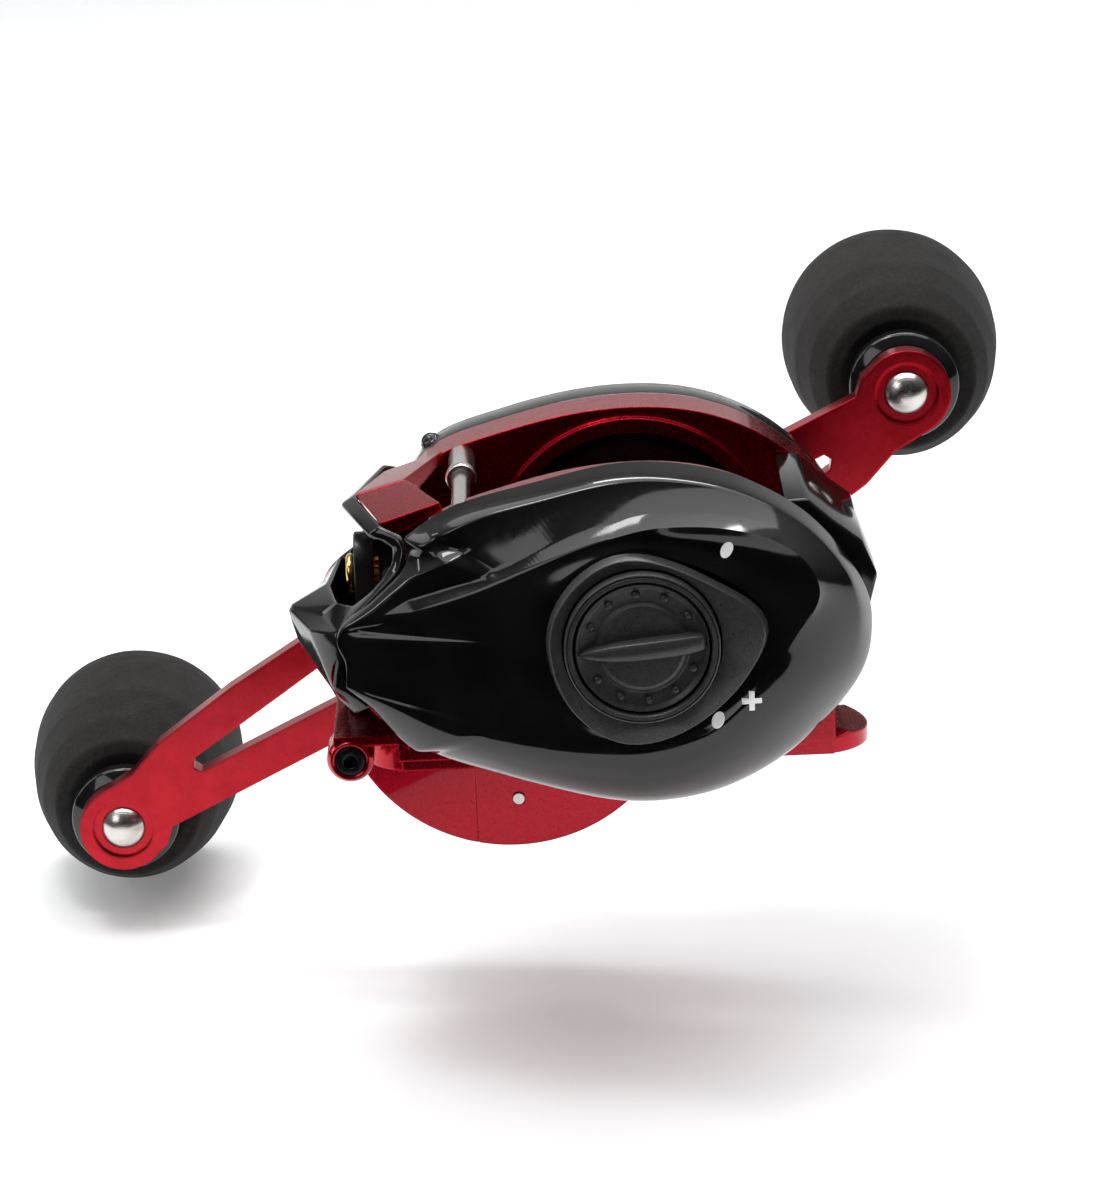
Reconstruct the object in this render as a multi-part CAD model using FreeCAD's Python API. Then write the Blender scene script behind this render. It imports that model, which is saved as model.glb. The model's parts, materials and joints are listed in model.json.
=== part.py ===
import FreeCAD
import Part
import math
import os

# Low-profile baitcasting reel, right-hand wind. Millimetres.
# +Z up, -X is the front where the line leaves, +Y is the handle side.
# Origin: on the flat underside of the reel foot, directly below the spool axis.

V = FreeCAD.Vector
Y_AXIS = V(0, 1, 0)

# ---- driving dimensions ---------------------------------------------------
SPOOL_Z = 23.5             # spool axis above the foot's underside
WALL_IN = 11.5             # half the gap between the two frame walls
PALM_WALL_OUT = 15.0       # palm side: outer face of the frame wall
WEB_IN, WEB_OUT = 13.1, 15.3   # handle side: web behind the spool
RIM_OUT = 18.5             # handle side: edge where the gear cover seats
COVER_IN, COVER_OUT = 29.0, 30.5   # gear cover's end wall
SPOOL_R = 16.9             # spool flange
OPENING_R = 17.3           # round opening in each frame wall
LINE_R = 9.2               # spool arbor
SHAFT_R = 1.5              # spool shaft

MODULE = 0.6               # drive gear pair
DRIVE_TEETH, PINION_TEETH = 73, 13
DRIVE_ANGLE = 227.0        # direction from the spool axis to the drive axis
WORM_MODULE = 0.5          # level-wind gear pair
COG_TEETH, WORM_TEETH = 69, 20
WORM_ANGLE = 148.0         # direction from the drive axis to the worm axis

HOUSING_R = 23.9           # round lower gear housing
FOOT_FRONT, FOOT_REAR = -37.2, 30.6
FOOT_HALF, FOOT_H = 7.0, 3.2
TOE_H = 4.6                # raised front end of the foot
DECK_LOW, DECK_TOP = 3.2, 4.9

HANDLE_ARM = 65.46         # drive axis to each knob axis
HANDLE_TILT = 27.8         # angle of the handle, rear end up
ARM_IN, ARM_OUT = 44.0, 47.0
ARM_END_R = 6.35
KNOB_R = 15.9
KNOB_END = 84.0
POST_R = 2.0

CLEAR = 0.3                # gap between parts that move past each other
FIT = 0.06                 # radial running clearance
SEAT = 0.02                # radial gap of a fixed seat


def polar(cx, cz, radius, degrees):
    angle = math.radians(degrees)
    return cx + radius * math.cos(angle), cz + radius * math.sin(angle)


SPOOL = (0.0, SPOOL_Z)
DRIVE = polar(*SPOOL, MODULE * (DRIVE_TEETH + PINION_TEETH) / 2, DRIVE_ANGLE)
WORM = polar(*DRIVE, WORM_MODULE * (COG_TEETH + WORM_TEETH) / 2, WORM_ANGLE)
KNOB_REAR = polar(*DRIVE, HANDLE_ARM, HANDLE_TILT)
KNOB_FRONT = polar(*DRIVE, HANDLE_ARM, HANDLE_TILT + 180)
EYE_X, EYE_Z, EYE_R = -38.6, 26.0, 1.7     # line-guide eye, front face

# Side outline of the frame walls and covers, X and Z, as one smooth closed curve
EGG = [(-35.5, 10.0), (-38.8, 15.5), (-38.6, 22.5), (-32.0, 30.5), (-28.5, 36.5), (-20, 40.6),
       (-10, 43.1), (0, 44.1), (9, 43.2), (17, 40.1), (24, 34.6), (28.6, 28), (30.2, 20.5),
       (28, 12.6), (22, 5.7), (13, 0.0), (3, -2.4), (-8, -1.4), (-20, 2.2), (-30, 6.6)]
EGG_CENTRE = (-3.0, 20.5)

# Side outline of the palm plate: seam top, round the rear, to seam bottom
PALM_EDGE = [(-30.1, 35.5), (-23.3, 39.4), (-13.1, 42.0), (-2.8, 44.1), (5.7, 43.8), (14.3, 41.4),
             (22.7, 35.9), (29, 27.4), (30.4, 20.5), (28.3, 13.2), (20.7, 4.8), (11.9, -0.5),
             (3, -2.5), (-5.8, -1.8), (-18.7, 2.0), (-29.5, 6.5), (-35.7, 13.2), (-38.6, 15.9)]
PALM_SEAM = [(-38.6, 15.9), (-38.5, 19.1), (-39.3, 23.0), (-34.5, 27.4), (-30.4, 31.0),
             (-29.7, 33.7), (-30.1, 35.5)]


# ---- shape helpers --------------------------------------------------------
def rod(axis, radius, y0, y1):
    return Part.makeCylinder(radius, y1 - y0, V(axis[0], y0, axis[1]), Y_AXIS)


def tube(axis, outer, inner, y0, y1):
    return rod(axis, outer, y0, y1).cut(rod(axis, inner, y0 - 1, y1 + 1))


def box(x0, x1, y0, y1, z0, z1):
    return Part.makeBox(x1 - x0, y1 - y0, z1 - z0, V(x0, y0, z0))


def turned(axis, profile):
    """A solid turned about an axis along Y, from (radius, y) points."""
    points = [V(axis[0] + r, y, axis[1]) for r, y in profile]
    face = Part.Face(Part.makePolygon(points + points[:1]))
    return face.revolve(V(axis[0], 0, axis[1]), Y_AXIS, 360)


def plate(points, y0, y1):
    """A flat plate from (x, z) points."""
    corners = [V(x, y0, z) for x, z in points]
    face = Part.Face(Part.makePolygon(corners + corners[:1]))
    return face.extrude(V(0, y1 - y0, 0))


def rounded_bar(start, end, radius, y0, y1):
    """A plate with round ends between two (x, z) points."""
    angle = math.atan2(end[1] - start[1], end[0] - start[0])
    dx, dz = -radius * math.sin(angle), radius * math.cos(angle)
    middle = plate([(start[0] + dx, start[1] + dz), (end[0] + dx, end[1] + dz),
                    (end[0] - dx, end[1] - dz), (start[0] - dx, start[1] - dz)], y0, y1)
    return middle.fuse(rod(start, radius, y0, y1)).fuse(rod(end, radius, y0, y1)).removeSplitter()


def joined(*solids):
    whole = solids[0].fuse(list(solids[1:]))
    return whole.removeSplitter()


def placed(shape, axis, degrees):
    """Turn a shape about the Y axis through (0, 0) so that +X points to `degrees`, then move it."""
    shape = shape.copy()
    shape.rotate(V(0, 0, 0), Y_AXIS, -degrees)
    shape.translate(V(axis[0], 0, axis[1]))
    return shape


def smooth_line(points, count, closed=True):
    """Evenly spaced points along the smooth curve through some (x, z) points."""
    curve = Part.BSplineCurve()
    curve.interpolate(Points=[V(x, 0, z) for x, z in points], PeriodicFlag=closed)
    line = [(p.x, p.z) for p in curve.discretize(Number=count + 1)]
    return line[:-1]


def loop(points, y):
    corners = [V(x, y, z) for x, z in points]
    return Part.makePolygon(corners + corners[:1])


def scaled(points, factor, centre=EGG_CENTRE):
    return [(centre[0] + (x - centre[0]) * factor, centre[1] + (z - centre[1]) * factor)
            for x, z in points]


def bulge(points, sections, centre=EGG_CENTRE):
    """A shell form of flat facets through one outline at several sizes, from (y, factor) pairs."""
    return Part.makeLoft([loop(scaled(points, factor, centre), y) for y, factor in sections], True, True)


EGG_LINE = smooth_line(EGG, 96)
PALM_LINE = smooth_line(PALM_EDGE, 52, False) + smooth_line(PALM_SEAM, 12, False)


def egg(factor, y0, y1):
    return plate(scaled(EGG_LINE, factor), y0, y1)


def tooth_half_angle(teeth, module, radius, slack):
    """Half the angle that a tooth fills at a radius, for 20 degree involute flanks."""
    pitch = module * teeth / 2
    base = pitch * math.cos(math.radians(20))

    def involute(r):
        a = math.acos(min(1.0, base / r))
        return math.tan(a) - a
    return math.pi / (2 * teeth) - slack / pitch + involute(pitch) - involute(max(radius, base))


def gear(teeth, module, addendum, y0, y1, slack=0.04):
    """A spur gear about (0, 0) with one tooth centred on +X; flanks are a few chords."""
    pitch = module * teeth / 2
    base = pitch * math.cos(math.radians(20))
    root = pitch - 1.25 * module
    tip = pitch + addendum * module
    first = max(root, base)
    radii = [root] if root < base else []
    radii += [first + (tip - first) * step / 3 for step in range(4)]
    points = []
    for tooth in range(teeth):
        middle = 2 * math.pi * tooth / teeth
        flank = [(r, tooth_half_angle(teeth, module, r, slack)) for r in radii]
        for r, half in flank:
            points.append((r * math.cos(middle - half), r * math.sin(middle - half)))
        for r, half in reversed(flank):
            points.append((r * math.cos(middle + half), r * math.sin(middle + half)))
    return plate(points, y0, y1)


# ---- frame: walls, deck, hood ---------------------------------------------
def worm_bosses(grow):
    return joined(rod(WORM, 4.2 + grow, -PALM_WALL_OUT, -WALL_IN),
                  rod(WORM, 6.8 + grow, WALL_IN, RIM_OUT))


def frame_walls():
    front_limit = box(-37.2, 40, -20, 40, -30, 60)
    palm = egg(0.965, -PALM_WALL_OUT, -WALL_IN).common(front_limit)
    drive = egg(1.0, WALL_IN, RIM_OUT).common(front_limit)
    drive = drive.fuse(rod(DRIVE, 8.0, WEB_IN, WEB_OUT + 1.0))
    return palm, drive


def gear_chamber():
    """Hollow in the handle-side wall that holds the level-wind gears."""
    inner = egg(0.93, WEB_OUT, RIM_OUT + 1).common(box(-36, 40, 0, 40, -30, 60))
    inner = inner.fuse(rod(DRIVE, HOUSING_R - 1.0, WEB_OUT, RIM_OUT + 1))
    inner = inner.fuse(rod(WORM, 5.9, WEB_OUT, RIM_OUT + 1))
    return inner.cut(rod(SPOOL, 6.2, WEB_OUT, WEB_OUT + 1.2)).cut(rod(DRIVE, 6.4, WEB_OUT, 16.2))


def hood():
    """Faceted roof over the line window, a ridge along the middle."""
    ridge = [(-36.8, 36.9), (-30.3, 38.7), (-28.2, 37.5), (-35.5, 34.6)]
    eaves = [(-33.3, 36.4), (-25.4, 38.9), (-25.0, 37.8), (-32.2, 34.4)]
    middle = plate(ridge, -0.5, 0.5)
    sides = []
    for side in (-1, 1):
        near = Part.makePolygon([V(x, 0, z) for x, z in ridge + ridge[:1]])
        far = Part.makePolygon([V(x, side * 12, z) for x, z in eaves + eaves[:1]])
        sides.append(Part.makeLoft([near, far], True, True))
    return joined(middle, *sides)


def main_frame():
    palm, drive = frame_walls()
    deck = box(-31.5, 22, -WALL_IN - 0.5, WALL_IN + 2, DECK_LOW, DECK_TOP)
    bulkhead = box(-41.0, -31.0, -WALL_IN - 0.5, WALL_IN + 0.5, 5.6, 7.0)
    riser = box(-32.5, -31.0, -WALL_IN - 0.5, WALL_IN + 0.5, DECK_LOW, 7.0)
    lug = joined(rod((-38.9, 3.6), 2.4, -10, -5), box(-40.4, -37.4, -10, -5, 3.6, 6.0))
    rear = box(22.0, 25.5, -WALL_IN - 0.5, WALL_IN + 2, 6.0, 14.5)
    rear_step = box(19.0, 25.5, -WALL_IN - 0.5, WALL_IN + 2, DECK_LOW + 0.4, 7.2)
    lip = rod(SPOOL, 19.3, WALL_IN - 1.1, WALL_IN).common(egg(0.985, 0, 20))
    body = joined(palm, drive, deck, bulkhead, riser, lug, rear, rear_step, hood(), worm_bosses(0), lip)
    cuts = [rod(SPOOL, OPENING_R, -20, WEB_IN), gear_chamber(),
            rod(SPOOL, 5.0 + SEAT, WEB_IN - 1, RIM_OUT), rod(DRIVE, 5.0 + SEAT, WEB_IN - 2, RIM_OUT),
            rod(WORM, 2.5 + SEAT, -16, 20), rod((-38.9, 3.6), 1.2, -12, -6.0),
            rod(GUIDE_ROD, GUIDE_ROD_R, -14.0, 14.5), rod(SLIDE_ROD, SLIDE_ROD_R, -14.0, 14.0),
            box(20.7, 24.3, WALL_IN - 1, WEB_OUT + 4, 20.0, 30.5)]
    for x in (-24.0, 8.0):
        cuts.append(Part.makeCylinder(1.25, 6, V(x, 0, 1)))
    for post in YOKE_POSTS:
        cuts.append(rod(post, 0.8, WEB_IN + 0.5, WEB_OUT + 1))
    for solid in cuts:
        body = body.cut(solid)
    return body.removeSplitter()


GUIDE_ROD, GUIDE_ROD_R = (-22.7, 38.0), 1.25
SLIDE_ROD, SLIDE_ROD_R = (-33.3, 22.0), 1.0
YOKE_POSTS = [polar(*SPOOL, 9.5, DRIVE_ANGLE - 90), polar(*SPOOL, 9.5, DRIVE_ANGLE + 90)]
COVER_SCREWS = [(-26.5, 33.0), (24.5, 24.5), (9.0, 3.5)]
GUIDE_SLEEVE_Y = (1.2, WALL_IN - 0.1)


def gear_housing():
    """Round lower half of the handle-side frame, below the wall's own outline."""
    disc = rod(DRIVE, HOUSING_R, 14.0, RIM_OUT)
    disc = disc.cut(rod(DRIVE, HOUSING_R - 1.0, WEB_OUT, RIM_OUT + 1))
    disc = disc.cut(egg(1.002, 10, 30)).cut(rod(DRIVE, 8.05, 10, 30))
    disc = disc.cut(rod(WORM, 6.9, 10, 30)).cut(rod(HOUSING_PIN, 0.8, 13, 17))
    disc = disc.cut(box(-23.1, -22.9, 13, 14.2, -25, -5))
    solids = sorted(disc.Solids, key=lambda s: s.Volume)
    return solids[-1]


HOUSING_PIN = (-17.1, -12.3)


def reel_foot():
    """Curved-top foot that the rod's reel seat clamps at both ends."""
    top = [(FOOT_FRONT, 1.6), (-36.4, 3.0), (-34.5, 3.15), (22.0, 3.15), (27.0, 2.7),
           (FOOT_REAR, 1.9), (FOOT_REAR, 0), (FOOT_FRONT + 0.6, 0)]
    side = plate(top, -FOOT_HALF, FOOT_HALF)
    length = FOOT_REAR - FOOT_FRONT
    plan = box(FOOT_FRONT + 5, FOOT_REAR - 5, -FOOT_HALF, FOOT_HALF, -1, 6)
    for x in (FOOT_FRONT + FOOT_HALF, FOOT_REAR - FOOT_HALF):
        plan = plan.fuse(Part.makeCylinder(FOOT_HALF, 7, V(x, 0, -1)))
    crown_r = 22.0
    crown = Part.makeCylinder(crown_r, length + 10, V(FOOT_FRONT - 5, 0, FOOT_H - crown_r), V(1, 0, 0))
    foot = side.common(plan).common(crown)
    seat = box(-29, 16, -4.5, 4.5, 2.0, DECK_LOW)
    toe = plate([(FOOT_FRONT, 0.8), (FOOT_FRONT, 3.6), (-36.2, TOE_H), (-32.6, TOE_H), (-32.6, 0),
                 (FOOT_FRONT + 0.6, 0)], -FOOT_HALF, FOOT_HALF)
    toe_crown = crown.translated(V(0, 0, TOE_H - FOOT_H))
    foot = foot.fuse([seat, toe.common(plan).common(toe_crown)])
    for x in (-24.0, 8.0):
        foot = foot.cut(Part.makeCylinder(1.25, 6, V(x, 0, -1)))
        foot = foot.cut(Part.makeCylinder(2.3, 2.5, V(x, 0, -1)))
    return foot.removeSplitter()


def foot_screws():
    screws = []
    for x in (-24.0, 8.0):
        shank = Part.makeCylinder(1.23, DECK_TOP - 0.6, V(x, 0, 0.6))
        head = Part.makeCylinder(2.25, 1.0, V(x, 0, 0.45))
        recess = Part.makeBox(3.0, 0.6, 0.5, V(x - 1.5, -0.3, 0.4))
        screws.append(shank.fuse(head).cut(recess).removeSplitter())
    return Part.makeCompound(screws)


def lug_screw():
    axis = (-38.9, 3.6)
    body = joined(rod(axis, 1.9, -12.2, -10.0), rod(axis, 1.18, -10.5, -6.2))
    return body.cut(rod(axis, 0.9, -13, -11.0))


def housing_pin():
    return rod(HOUSING_PIN, 0.78, 13.6, 16.0)


# ---- front cover ----------------------------------------------------------
def front_cover():
    """Gloss shell round the line window: top band, two S-shaped cheeks and a pointed nose."""
    half = PALM_WALL_OUT
    profile = [(-30.3, 35.2), (-35.4, 35.0), (-39.0, 36.1), (-39.0, 34.6), (-33.0, 33.2),
               (-31.6, 31.6), (-37.7, 27.4), (-46.8, 21.9), (-46.3, 18.4), (-44.4, 14.9),
               (-42.8, 12.4), (-39.1, 10.9), (-38.75, 15.9), (-38.65, 19.1), (-39.5, 23.0),
               (-34.7, 27.5), (-30.6, 31.1), (-29.9, 33.6)]
    shell = plate(profile, -half, RIM_OUT)
    point = Part.Face(Part.makePolygon([V(-47.5, 0, 0), V(-37.0, -half - 2, 0), V(-20, -half - 2, 0),
                                        V(-20, RIM_OUT + 2, 0), V(-37.0, RIM_OUT + 2, 0),
                                        V(-47.5, 3, 0), V(-47.5, 0, 0)])).extrude(V(0, 0, 60))
    shell = shell.common(point)
    lip = plate([(-46.8, 21.9), (-46.3, 18.4), (-44.4, 14.9), (-42.8, 12.4), (-39.1, 10.9),
                 (-36.0, 12.4), (-36.0, 23.5)], -half + 1.5, half - 1.5).common(point)
    shell = shell.fuse(lip)
    way = joined(box(-41.6, -25, -WALL_IN, WALL_IN, 5, 33.0),
                 box(-50, -35, -WALL_IN + 3, WALL_IN - 3, 24.4, 33.0))
    shell = shell.cut(way).cut(worm_bosses(0.1))
    shell = shell.cut(main_frame_block()).cut(main_frame())
    solids = sorted(shell.Solids, key=lambda s: s.Volume)
    return solids[-1]


def main_frame_block():
    """Space of the red frame, grown a little, that the front cover must leave free."""
    roof = box(-37.4, -20, -13, 13, 34.3, 40)
    band = box(-37.4, -20, -PALM_WALL_OUT - 1, RIM_OUT + 1, 5, 60).common(egg(1.006, -20, 20))
    bulkhead = box(-41.2, -30, -WALL_IN - 0.6, WALL_IN + 0.6, 5, 7.2)
    return joined(band, bulkhead, roof.cut(box(-40, -20, -13, 13, 30, 35.2)))


# ---- handle-side cover ----------------------------------------------------
def gear_side_plate():
    outer = bulge(EGG_LINE, [(RIM_OUT, 1.0), (25.0, 0.985), (28.4, 0.94), (COVER_OUT, 0.86)])
    drum = turned(DRIVE, [(0, RIM_OUT), (HOUSING_R, RIM_OUT), (HOUSING_R, 24), (HOUSING_R - 1.5, 27.5),
                          (HOUSING_R - 5, COVER_OUT - 1.0), (0, COVER_OUT - 1.0)])
    nose = turned(WORM, [(0, RIM_OUT), (6.8, RIM_OUT), (6.8, 20.5), (4.5, 22), (0, 22)])
    shell = joined(outer, drum, nose)
    inner = bulge(EGG_LINE, [(RIM_OUT - 1, 0.94), (25.0, 0.925), (27.2, 0.88), (COVER_IN, 0.80)])
    inner_drum = turned(DRIVE, [(0, RIM_OUT - 1), (HOUSING_R - 1.2, RIM_OUT - 1), (HOUSING_R - 1.2, 24),
                                (HOUSING_R - 3.2, 27), (HOUSING_R - 7, COVER_IN - 1.2),
                                (0, COVER_IN - 1.2)])
    inner_nose = rod(WORM, 5.6, RIM_OUT - 1, 20)
    shell = shell.cut(inner).cut(inner_drum).cut(inner_nose)
    shell = joined(shell, rod(DRIVE, 9.6, 25.2, 31.6), rod(SPOOL, 6.4, COVER_OUT - 1.5, 35.0),
                   rod(SPOOL, 7.4, 27.6 + 1.4, COVER_OUT + 0.3))
    shell = shell.fuse(Part.makeSphere(1.3, V(-27.1, 22.0, 37.4)))
    for post in COVER_SCREWS:
        shell = shell.fuse(rod(post, 2.2, RIM_OUT, COVER_OUT - 0.8))
    for post in YOKE_POSTS:
        shell = shell.fuse(rod(post, 1.6, 28.2, COVER_OUT - 0.5))
    cuts = [rod(DRIVE, 8.0 + SEAT, 25.0, 30.6), rod(DRIVE, 5.3, 25, 33),
            rod(SPOOL, 4.5 + SEAT, 26.0, 34.9), rod(SPOOL, 3.4, 26, 36),
            rod(SPOOL, 5.9, 34.0, 36).cut(rod(SPOOL, 5.4, 30, 37))]
    for post in COVER_SCREWS:
        cuts.append(rod(post, 1.1, RIM_OUT - 1, COVER_OUT + 2))
    for post in YOKE_POSTS:
        cuts.append(rod(post, 0.8, 28, 29.4))
    for solid in cuts:
        shell = shell.cut(solid)
    return shell.removeSplitter()


def side_plate_screws():
    screws = []
    for post in COVER_SCREWS:
        head = rod(post, 2.0, COVER_OUT + 0.05, COVER_OUT + 1.2)
        slot = box(post[0] - 1.5, post[0] + 1.5, COVER_OUT + 0.8, COVER_OUT + 2,
                   post[1] - 0.25, post[1] + 0.25)
        screws.append(joined(rod(post, 1.08, RIM_OUT + 0.2, COVER_OUT + 0.3), head).cut(slot))
    return Part.makeCompound(screws)


def yoke_posts():
    return Part.makeCompound([rod(post, 0.78, WEB_IN + 0.6, 29.2) for post in YOKE_POSTS])


def anti_reverse_dog():
    """Spring pawl that drops into the ratchet wheel behind the drive gear."""
    pivot = polar(*DRIVE, 19.6, 300)
    tip = polar(*DRIVE, 8.9, 272)
    return joined(rod(pivot, 1.6, 17.75, 18.35), rod(pivot, 0.7, WEB_OUT, 18.45),
                  plate([polar(*tip, 0.4, 0), polar(*pivot, 1.2, 70), polar(*pivot, 1.2, 250),
                         polar(*tip, 0.4, 240)], 17.8, 18.3))


# ---- palm side ------------------------------------------------------------
def palm_outer():
    return bulge(PALM_LINE, [(-PALM_WALL_OUT - 0.1, 1.0), (-18.6, 0.985), (-21.6, 0.945),
                             (-24.2, 0.87), (-25.8, 0.78), (-26.9, 0.63)])


def palm_plate():
    """Deep gloss shell with a flat leaf face, open towards the frame."""
    outer = palm_outer()
    inner = bulge(PALM_LINE, [(-PALM_WALL_OUT + 1, 0.95), (-18.0, 0.93), (-20.8, 0.88),
                              (-23.2, 0.79), (-24.5, 0.70), (-25.4, 0.56)])
    shell = outer.cut(inner)
    boss = rod(SPOOL, 10.6, -26.4, -22.0)
    shell = shell.fuse(boss)
    shell = shell.cut(rod(SPOOL, 8.0, -40, -20)).cut(dial_surround_form())
    return shell.cut(setting_marks()).removeSplitter()


def dial_surround_form():
    """Egg-shaped raised island round the brake dial, pointed towards the rear."""
    points = [(-12.3, 23.0), (-9.5, 31.0), (-2.5, 35.3), (4.5, 34.0), (10.2, 31.0), (16.3, 25.2),
              (14.6, 19.8), (11.0, 15.3), (4.0, 10.6), (-3.0, 9.8), (-9.4, 14.4)]
    return bulge(smooth_line(points, 56), [(-26.0, 1.0), (-28.0, 0.965)], (1.0, 23.0))


def dial_surround():
    return dial_surround_form().cut(rod(SPOOL, 10.25, -30, -26.4)).cut(rod(SPOOL, 8.0, -30, -20))


def setting_marks():
    """Two raised enamel dots at the ends of the dial's travel and a plus sign."""
    low, high = -29.0, -25.2
    marks = []
    for x, z in ((11.3, 34.8), (9.5, 12.3)):
        marks.append(rounded_bar((x - 0.25, z - 0.5), (x + 0.25, z + 0.5), 0.5, low, high))
    x, z = 13.9, 14.8
    marks.append(joined(box(x - 1.3, x + 1.3, low, high, z - 0.35, z + 0.35),
                        box(x - 0.35, x + 0.35, low, high, z - 1.3, z + 1.3)))
    surface = palm_outer()
    surface.translate(V(0, -0.15, 0))
    return Part.makeCompound([mark.common(surface) for mark in marks])


def brake_housing():
    """Insert that closes the palm-side opening and carries the spool bearing."""
    disc = turned(SPOOL, [(11.0, -15.6), (OPENING_R - 0.15, -15.6), (OPENING_R - 0.15, -14.4),
                          (11.0, -14.4)])
    cup = turned(SPOOL, [(2.4, -21.8), (11.0, -21.8), (11.0, -14.4), (9.9, -14.4), (9.9, -20.8),
                         (5.6, -20.8), (5.6, -17.6), (4.0 + SEAT, -17.6), (4.0 + SEAT, -20.8),
                         (2.4, -20.8)])
    return joined(disc, cup)


def ball_bearing(axis, outer, inner, y0, y1):
    ring = tube(axis, outer, inner, y0, y1)
    groove_outer = inner + (outer - inner) * 0.72
    groove_inner = inner + (outer - inner) * 0.28
    for low, high in ((y0 - 1, y0 + 0.2), (y1 - 0.2, y1 + 1)):
        ring = ring.cut(tube(axis, groove_outer, groove_inner, low, high))
    return ring


def brake_dial():
    """Knurled ring, dished face and a grip bar across the middle, on a hollow hub."""
    ring = turned(SPOOL, [(2.0, -28.6), (8.75, -28.6), (9.0, -30.2), (9.9, -30.2), (10.0, -29.6),
                          (10.0, -26.7), (7.7, -26.7), (7.7, -22.4), (6.5, -22.4), (6.5, -27.2),
                          (2.0, -27.2)])
    bar = rounded_bar(polar(*SPOOL, 7.8, 184), polar(*SPOOL, 7.8, 4), 1.4, -30.9, -28.5)
    hub = turned(SPOOL, [(0, -28.6), (3, -28.6), (3, -27.2), (0, -27.2)])
    bumps = [rod(polar(*SPOOL, 7.2, 30 * k + 5), 0.42, -28.95, -28.5) for k in range(12) if k % 6]
    return joined(ring, hub, bar, *bumps)


def magnet_ring():
    carrier = tube(SPOOL, 6.4, 4.0, -23.6, -22.3)
    magnets = [rod(polar(*SPOOL, 5.2, 60 * k), 0.95, -24.2, -23.5) for k in range(6)]
    stem = tube(SPOOL, 6.4, 5.7, -26.9, -23.5)
    return joined(carrier, stem, *magnets)


# ---- spool ----------------------------------------------------------------
def spool():
    return turned(SPOOL, [(SHAFT_R + SEAT, -3), (3, -3), (3, -2), (8.2, -2), (8.2, -11.4),
                          (15.6, -12.6), (SPOOL_R, -12.6), (SPOOL_R, -11.7), (15.6, -11.7),
                          (LINE_R, -10.4), (LINE_R, 10.4), (15.6, 11.7), (SPOOL_R, 11.7),
                          (SPOOL_R, 12.6), (15.6, 12.6), (8.2, 11.4), (8.2, 0), (3, 0), (3, 6),
                          (SHAFT_R + SEAT, 6)])


def spool_shaft():
    shaft = turned(SPOOL, [(0, -20.4), (1.2, -20.4), (SHAFT_R, -20.0), (SHAFT_R, 33.0), (1.1, 34.0),
                           (0, 34.0)])
    return shaft.cut(Part.makeCylinder(0.6, 10, V(0, 17.6, SPOOL_Z - 5)))


def drive_pin():
    return Part.makeCylinder(0.58, 5.6, V(0, 17.6, SPOOL_Z - 2.8))


def brake_rotor():
    return turned(SPOOL, [(SHAFT_R + SEAT, -5.4), (3, -5.4), (3, -4.6), (7.3, -4.6), (7.3, -16.6),
                          (8.0, -16.6), (8.0, -3.8), (3, -3.8), (3, -3.1), (SHAFT_R + SEAT, -3.1)])


# ---- gears and clutch -----------------------------------------------------
def pinion_gear():
    y0, y1 = 17.5, 24.4
    half_pitch = 180.0 / PINION_TEETH
    teeth = placed(gear(PINION_TEETH, MODULE, 1.0, y0, y1), SPOOL, DRIVE_ANGLE + half_pitch)
    body = joined(teeth, rod(SPOOL, 3.0, y1, 25.9), rod(SPOOL, 4.2, 25.9, 26.9))
    slot = box(-0.75, 0.75, y0 - 1, y0 + 0.9, SPOOL_Z - 5, SPOOL_Z + 5)
    return body.cut(rod(SPOOL, SHAFT_R + FIT, y0 - 1, 28)).cut(slot)


def clutch_yoke():
    """Fork that holds the pinion's groove and slides on two posts."""
    a, b = YOKE_POSTS
    body = rounded_bar(a, b, 2.6, 24.5, 25.8).fuse(rod(SPOOL, 5.4, 24.5, 25.8))
    mouth = placed(box(-3.1, 12, 20, 30, -3.1, 3.1), SPOOL, DRIVE_ANGLE - 180)
    body = body.cut(rod(SPOOL, 3.1, 20, 30)).cut(mouth)
    for post in YOKE_POSTS:
        body = body.fuse(rod(post, 2.0, 23.6, 27.0 - 1.2)).cut(rod(post, 0.78 + FIT, 20, 30))
    return body.removeSplitter()


def drive_gear():
    y0, y1 = 18.6, 22.4
    teeth = placed(gear(DRIVE_TEETH, MODULE, 0.75, y0, y1), DRIVE, DRIVE_ANGLE - 180)
    body = teeth.cut(rod(DRIVE, 2.5 + SEAT, 10, 30)).cut(tube(DRIVE, 14.0, 3.6, 20.4, 23))
    for k in range(6):
        body = body.cut(rod(polar(*DRIVE, 17.2, 60 * k + 10), 1.6, 10, 30))
    return body


def drag_washers():
    washers = []
    for k in range(5):
        y = 20.45 + 0.7 * k
        outer = 13.6 if k % 2 == 0 else 12.8
        washers.append(tube(DRIVE, outer, 3.7 if k < 3 else 2.6, y, y + 0.6))
    return Part.makeCompound(washers)


def drive_shaft():
    shaft = turned(DRIVE, [(0, 12.6), (2.2, 12.6), (2.5, 13.0), (2.5, 24.2), (3.2, 24.2),
                           (3.2, ARM_OUT - 0.1), (2.4, ARM_OUT - 0.1), (2.4, 50.4), (0, 50.4)])
    flat = box(DRIVE[0] - 5, DRIVE[0] + 5, 40.3, 60, DRIVE[1] + 2.2, DRIVE[1] + 5)
    return shaft.cut(flat)


def worm_drive_cog():
    teeth = placed(gear(COG_TEETH, WORM_MODULE, 0.8, 16.5, 17.7), DRIVE, WORM_ANGLE)
    body = teeth.cut(rod(DRIVE, 2.5 + SEAT, 10, 30))
    for k in range(5):
        body = body.cut(rod(polar(*DRIVE, 10.5, 72 * k), 3.6, 10, 30))
    return body


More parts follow.
